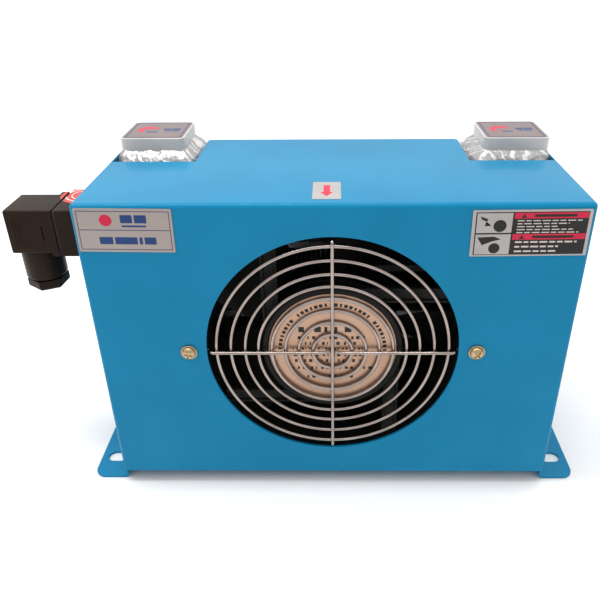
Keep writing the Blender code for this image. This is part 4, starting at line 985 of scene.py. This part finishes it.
def build_fan_screws():
    """Raised-head screws with a cross recess, and plain washers."""
    profile = [(0.35 * MM, -2.72 * MM)]
    for k in range(1, 9):
        angle = radians(8 + 9.8 * k)
        profile.append((3.9 * MM * sin(angle), -0.35 * MM - 2.37 * MM * cos(angle)))
    profile += scaled([(3.9, 0), (1.85, 0.02), (1.85, 12.8), (1.0, 13.7)])
    washer = scaled([(2.2, 0.05), (4.45, 0.05), (4.6, 0.2), (4.6, 0.8), (4.45, 0.95), (2.2, 0.95)])
    arm = rectangle(-0.4 * MM, 2.3 * MM, -0.42 * MM, 0.42 * MM)
    for end, side in SIDES:
        place = at(side * FAN_SCREW_X, -1.25 * MM, FAN_Z) @ ALONG_Y
        screw = add_piece(f"screw_{end}", one(turned, profile, 48), "yellow_zinc", place=place,
                          replaces=[f"fan_screw_{end}"])
        recess = bmesh.new()
        for quarter in range(4):
            turn = 90 * quarter + 28 + 17 * side
            prism(recess, turned_outline(arm, turn), "Z", -4 * MM, -1.35 * MM)
        cut(screw, recess, overlapping=True)
        add_piece(f"washer_{end}", one(turned, washer, ring=True), "yellow_zinc", place=place,
                  replaces=[f"fan_washer_{end}"])


# Connector


def connector_outline(inset, back, bottom):
    """The socket, the collar and the plug share their front and top."""
    return rectangle(CONNECTOR_FRONT + inset, back - inset, bottom + inset,
                     CONNECTOR_TOP - inset, 1.1 * MM)


def build_base():
    outline = connector_outline(0, BASE_BACK, BASE_BOTTOM)
    add_piece("socket_base", one(prism, outline, "X", SEAM_X, -HALF_WIDTH - 0.05 * MM),
              "black_polyamide", replaces=["connector_base"], edge=(0.4 * MM, 3))


def build_plug():
    rim = 0.05 * MM
    round_end = 0.8 * MM
    levels = [(rim, PLUG_X - 1 * MM), (rim, PLUG_END_X + round_end)]
    levels += [(rim + inset, PLUG_END_X + drop) for inset, drop in quarter_round(round_end, 5)]
    loops = [lift(connector_outline(inset, PLUG_BACK, PLUG_BOTTOM), "X", x) for inset, x in levels]
    plug = add_piece("plug", one(loft, loops), "black_polyamide", "plug", replaces=["plug_housing"])
    face = CONNECTOR_FRONT + rim
    for inset, depth in ((0, 0.3), (1.7, 0.6), (3.4, 0.9)):
        box = (-178.2 + inset, -165.9 - inset, 152.6 + inset, 169.4 - inset)
        cut(plug, bars([box], "Y", face - 1 * MM, face + depth * MM, 0.8 * MM, 3))
    cut(plug, one(block, (-162.7 * MM, face - 1 * MM, 156.6 * MM),
                  (-161.6 * MM, face + 0.8 * MM, 165.2 * MM)))
    round_edges(plug, 0.12 * MM)
    build_plug_details(plug, face)


def build_plug_details(plug, face):
    """The collar, the marks on the front, the neck and the fixing screw."""
    moulded = {"look": "black_polyamide", "body": "plug", "parent": plug}
    levels = [(0.3 * MM, PLUG_X), (0, PLUG_X - 0.3 * MM), (0, PLUG_X - COLLAR_LENGTH + 0.3 * MM),
              (0.3 * MM, PLUG_X - COLLAR_LENGTH)]
    loops = [lift(connector_outline(inset, COLLAR_BACK, BASE_BOTTOM), "X", x)
             for inset, x in levels]
    add_piece("plug_collar", one(loft, loops), **moulded)
    path = [(-179.4 * MM, face, 150.9 * MM), (-166.4 * MM, face, 150.9 * MM)]
    add_piece("plug_ridge", one(rod_along, path, 0.45 * MM, (0, 1, 0)), **moulded)
    bm = bmesh.new()
    for z in (156.4, 158.4, 160.4, 162.4):
        low = (-161.0 * MM, face - 0.15 * MM, (z - 0.3) * MM)
        block(bm, low, (-160.0 * MM, face + 0.3 * MM, (z + 0.3) * MM))
    add_piece("plug_ticks", bm, edge=(0.1 * MM, 1), **moulded)
    bore = 9.0 * MM
    profile = [(bore, NECK_BOTTOM + 0.4 * MM), (bore, NECK_BOTTOM), (10.2 * MM, NECK_BOTTOM),
               (NECK_R - 0.3 * MM, NECK_BOTTOM + 0.8 * MM), (NECK_R, NECK_BOTTOM + 1.6 * MM),
               (NECK_R, PLUG_BOTTOM + 1.5 * MM), (bore, PLUG_BOTTOM + 1.5 * MM)]
    add_piece("plug_neck", one(turned, profile, 96, ring=True),
              place=GLAND_PLACE, **moulded)
    head = 183.2 * MM
    profile = scaled([(1.5, 158.2), (1.5, 180.9), (3.2, 180.9)])
    profile += [(3.2 * MM, head - 0.5 * MM), (2.9 * MM, head - 0.12 * MM), (2.6 * MM, head)]
    place = at(0, PLUG_Y, PLUG_Z) @ Matrix.Rotation(-pi / 2, 4, "Y")
    screw = add_piece("cover_screw", one(turned, profile, 48), "steel", "plug_screw", place,
                      replaces=["plug_fixing_screw"])
    cut(screw, one(block, (-0.5 * MM, -4 * MM, head - 1.1 * MM),
                   (0.5 * MM, 4 * MM, head + 1 * MM)))


def build_gland_nut():
    top = NECK_BOTTOM - 0.6 * MM
    bore = 5.0 * MM
    profile = [(NUT_R - 1.6 * MM, NUT_BOTTOM), (NUT_R, NUT_BOTTOM + 1.5 * MM), (NUT_R, top)]
    bm = one(turned, profile, 6)
    bmesh.ops.rotate(bm, verts=bm.verts, matrix=Matrix.Rotation(NUT_TURN, 3, "Z"))
    nut = add_piece("cable_nut", bm, "black_polyamide", "gland_nut", GLAND_PLACE,
                    replaces=["gland_nut"])
    cut(nut, one(turned, [(bore, NUT_BOTTOM - 1 * MM), (bore, top + 1 * MM)]))
    round_edges(nut, 0.5 * MM, 3)
    spigot = one(pipe, circle(8.7 * MM, 96), circle(bore, 96), "Z", top - 0.5 * MM, 135.0 * MM)
    add_piece("cable_nut_spigot", spigot, "black_polyamide", "gland_nut", GLAND_PLACE, parent=nut)


# Labels


def build_nameplate():
    """A silver plate with plain blue lines and bars."""
    tilt = Matrix.Rotation(radians(0.75), 4, "Y")
    place = at(-105.7 * MM, 0, 175.2 * MM) @ tilt
    half_x, half_z = 24.85 * MM, 12.0 * MM
    outline = centred(half_x, half_z, 0.8 * MM)
    add_piece("name_plate", one(prism, outline, "Y", -0.5 * MM, -0.05 * MM), "label_foil",
              place=place, replaces=["nameplate"])
    front = ("Y", -0.54 * MM, -0.49 * MM)
    inset, line, middle = 1.3 * MM, 0.35 * MM, 0.3 * MM
    outer = centred(half_x - inset, half_z - inset)
    inset += line
    lines = one(pipe, outer, centred(half_x - inset, half_z - inset), *front)
    bar = rectangle(inset - half_x, half_x - inset, middle - line / 2, middle + line / 2)
    prism(lines, bar, *front)
    boxes = [(-1.5, 4.6, 4.2, 8.6), (5.6, 11.8, 4.2, 8.6), (-1.2, 11.4, 2.0, 3.0)]
    boxes += [(low_x, high_x, -7.6, -3.6)
              for low_x, high_x in ((-13.5, -6.6), (-5.6, 6.0), (7.0, 8.6), (9.6, 15.6))]
    dot = circle(3.2 * MM, 48, (-9.0 * MM, 5.6 * MM))
    for part, look, bm in (
        ("lines", "print_navy", lines),
        ("bars", "print_blue", bars(boxes, *front, 0.3 * MM, 3)),
        ("dot", "print_red", one(prism, dot, *front)),
    ):
        add_piece(f"name_plate_{part}", bm, look, place=place, slot="label_foil")


def build_notice():
    """A plain notice: red headings over dark fields with pale dashes, and two cells of shapes."""
    tilt = Matrix.Rotation(radians(-0.6), 4, "Y")
    place = at(100.45 * MM, 0, 173.3 * MM) @ tilt
    outline = centred(29.85 * MM, 12.75 * MM, 0.6 * MM)
    add_piece("notice", one(prism, outline, "Y", -0.5 * MM, -0.05 * MM), "silver_film",
              place=place, slot="warning_film", replaces=["warning_label"])
    front, over = (-0.53 * MM, -0.49 * MM), (-0.56 * MM, -0.525 * MM)
    left, split, right = -28.2, -9.8, 28.2
    boxes = {"print_black": [(left, right, -11.9, 11.7, front)], "print_red": [],
             "print_cream": [], "silver_film": []}
    for top, bottom, rows in ((11.2, 0.1, (25, 19, 13, 21, 24)), (-0.4, -11.9, (24, 15, 14))):
        boxes["print_red"].append((split + 0.9, right - 0.3, top - 3.1, top, over))
        boxes["silver_film"].append((left + 0.6, split, bottom + 0.35, top, over))
        gap = 1.62 if len(rows) > 3 else 2.6
        for index, end in enumerate(rows):
            high = top - 4.0 - gap * index
            for low_x, high_x in dashes(split + 2.6, end, index):
                boxes["print_cream"].append((low_x, high_x, high - 0.34 * gap, high, over))
    for look, rows in boxes.items():
        bm = bmesh.new()
        for *box, depth in rows:
            prism(bm, rectangle(*(value * MM for value in box)), "Y", *depth)
        add_piece("notice_" + look, bm, look, place=place, slot="warning_film")
    raised = ("Y", -0.58 * MM, -0.555 * MM)
    bm = bmesh.new()
    for top in (11.2, -0.4):
        prism(bm, scaled([(-5.6, top - 2.7), (-2.8, top - 2.7), (-4.2, top - 0.5)]), *raised)
        bar = rectangle(1.0 * MM, 22.0 * MM, (top - 2.3) * MM, (top - 0.9) * MM)
        prism(bm, bar, *raised)
    bolt = [(-26.0, 9.6), (-22.0, 8.0), (-23.2, 5.8), (-20.2, 4.4), (-23.6, 4.2), (-22.6, 6.6),
            (-25.2, 7.8)]
    wedge = [(-26.6, -2.0), (-18.2, -1.6), (-14.6, -3.2), (-18.8, -4.2), (-24.0, -6.4)]
    for outline in (bolt, wedge):
        prism(bm, scaled(outline), *raised)
    for centre_x, centre_z, radius in ((-15.8, 4.2, 3.3), (-17.6, -8.2, 2.9)):
        prism(bm, circle(radius * MM, 24, (centre_x * MM, centre_z * MM)), *raised)
    add_piece("notice_shapes", bm, "print_black", place=place, slot="warning_film")


def dashes(start, end, seed):
    """Uneven dashes that fill a row."""
    spans = []
    x = start
    index = seed
    while x < end:
        length = 2.2 + 1.9 * abs(sin(2.3 * index + 0.7))
        spans.append((x, min(x + length, end)))
        x += length + 0.9
        index += 1
    return spans


def build_arrow():
    """The small silver label with a red arrow on the top panel."""
    place = at(-2.8 * MM, 19.1 * MM, TOP)
    outline = centred(7.4 * MM, 12.6 * MM, 0.5 * MM)
    add_piece("arrow_label", one(prism, outline, "Z", 0.02 * MM, 0.16 * MM), "silver_film",
              place=place, slot="label_foil")
    arrow = scaled([(0, -8.8), (3.5, -2.6), (1.7, -2.6), (1.7, 7.6)])
    arrow += [(-x, y) for x, y in arrow[:0:-1]]
    add_piece("arrow_mark", one(prism, arrow, "Z", 0.155 * MM, 0.19 * MM), "print_red",
              place=place, slot="label_foil")


def clipped(points, limits):
    """The part of a convex outline inside the limits (low_x, high_x, low_y, high_y)."""
    low_x, high_x, low_y, high_y = limits
    for axis, sign, limit in ((0, 1, low_x), (0, -1, -high_x), (1, 1, low_y), (1, -1, -high_y)):
        kept = []
        for start, end in zip(points[-1:] + points[:-1], points):
            before, after = sign * start[axis] - limit, sign * end[axis] - limit
            if before * after < 0:
                share = before / (before - after)
                kept.append(tuple(a + share * (b - a) for a, b in zip(start, end)))
            if after >= 0:
                kept.append(end)
        points = kept
    return points


def build_seal_sticker():
    """The round red sticker across the seam, slit where the plug leaves its socket."""
    centre = (-144.4 * MM, 52.3 * MM)
    disc = circle(13.2 * MM, 160, centre)
    place = at(0, 0, CONNECTOR_TOP)
    socket = (SEAM_X + 0.1 * MM, -HALF_WIDTH - 0.1 * MM, 0, BASE_BACK - 0.5 * MM)
    collar = (PLUG_X - COLLAR_LENGTH + 0.4 * MM, PLUG_X - 0.4 * MM, 0, COLLAR_BACK - 0.7 * MM)
    for name, body, limits in (("socket", "housing", socket), ("plug", "plug", collar)):
        bm = one(prism, clipped(disc, limits), "Z", 0.01 * MM, 0.12 * MM)
        add_piece(f"sticker_{name}", bm, "print_coral", body, place, slot="black_polyamide")
    # The rings end before the collar, so the socket alone carries them.
    bm = bmesh.new()
    step = 3
    for outer, inner in scaled([(10.6, 9.5), (7.2, 6.4)]):
        for start in range(0, 360, step):
            sector = arc(centre, outer, start, start + step, 1)
            sector += arc(centre, inner, start + step, start, 1)
            inside = clipped(sector, socket)
            if inside:
                prism(bm, inside, "Z", 0.115 * MM, 0.15 * MM)
    add_piece("sticker_rings", bm, "print_cream", place=place, slot="black_polyamide")


def dress_cad_nodes():
    """Gives each CAD node that is still shown the look of its own slot."""
    slots = {row["node"]: row["material_slot"] for row in frame["record"]["subparts"]}
    for name, obj in frame["nodes"].items():
        look = LOOKS.get(slots.get(name, ""), LOOKS["steel"])
        for material_slot in obj.material_slots:
            material_slot.material = look


def build_stage():
    """The floor, the lights and the world."""
    floor = add_object("floor", mesh_from("floor", one(block, (-12, -12, -0.02), (12, 12, 0))))
    floor.data.materials.append(make_surface(
        "floor_paper", ((0.80, 0.80, 0.80), (0.84, 0.84, 0.84)), (0.8, 0.9), mottle=3.0))
    for name, place, size, power in (
        ("ceiling", (0.0, 2.5, 2.6), (10.0, 10.0), 225.0),
        ("softbox", (-0.25, -0.06, 1.15), (1.0, 0.12), 7.5),
    ):
        light = bpy.data.lights.new(name, "AREA")
        light.shape = "RECTANGLE"
        light.size, light.size_y = size
        light.energy = power
        lamp = add_object(name, light)
        lamp.location = place
        lamp.visible_camera = False
    world = bpy.data.worlds.new("studio")
    world.use_nodes = True
    background = world.node_tree.nodes["Background"]
    background.inputs["Color"].default_value = (1, 1, 1, 1)
    background.inputs["Strength"].default_value = 0.72
    bpy.context.scene.world = world
    bpy.context.scene.view_settings.view_transform = "Standard"


def build_camera():
    ahead = Vector((
        sin(CAMERA_YAW) * cos(CAMERA_PITCH),
        cos(CAMERA_YAW) * cos(CAMERA_PITCH),
        -sin(CAMERA_PITCH),
    ))
    level = Vector((cos(CAMERA_YAW), -sin(CAMERA_YAW), 0))
    upright = level.cross(ahead)
    right = cos(CAMERA_ROLL) * level + sin(CAMERA_ROLL) * upright
    up = cos(CAMERA_ROLL) * upright - sin(CAMERA_ROLL) * level
    data = bpy.data.cameras.new("camera")
    data.lens = CAMERA_LENS
    data.sensor_width = 36
    data.shift_x, data.shift_y = CAMERA_SHIFT
    data.clip_start = 0.01
    camera = add_object("camera", data)
    turn = Matrix((right, up, -ahead)).transposed().to_4x4()
    camera.matrix_world = Matrix.Translation(ORIGIN + Vector(CAMERA_PLACE)) @ turn
    bpy.context.scene.camera = camera


dress_cad_nodes()
build_housing()
build_tanks()
build_fins()
build_ports()
build_welds()
build_core_bolts()
build_fan_frame()
build_disc()
build_impeller()
build_guard()
build_fan_screws()
build_base()
build_plug()
build_gland_nut()
build_nameplate()
build_notice()
build_arrow()
build_seal_sticker()
build_stage()
build_camera()
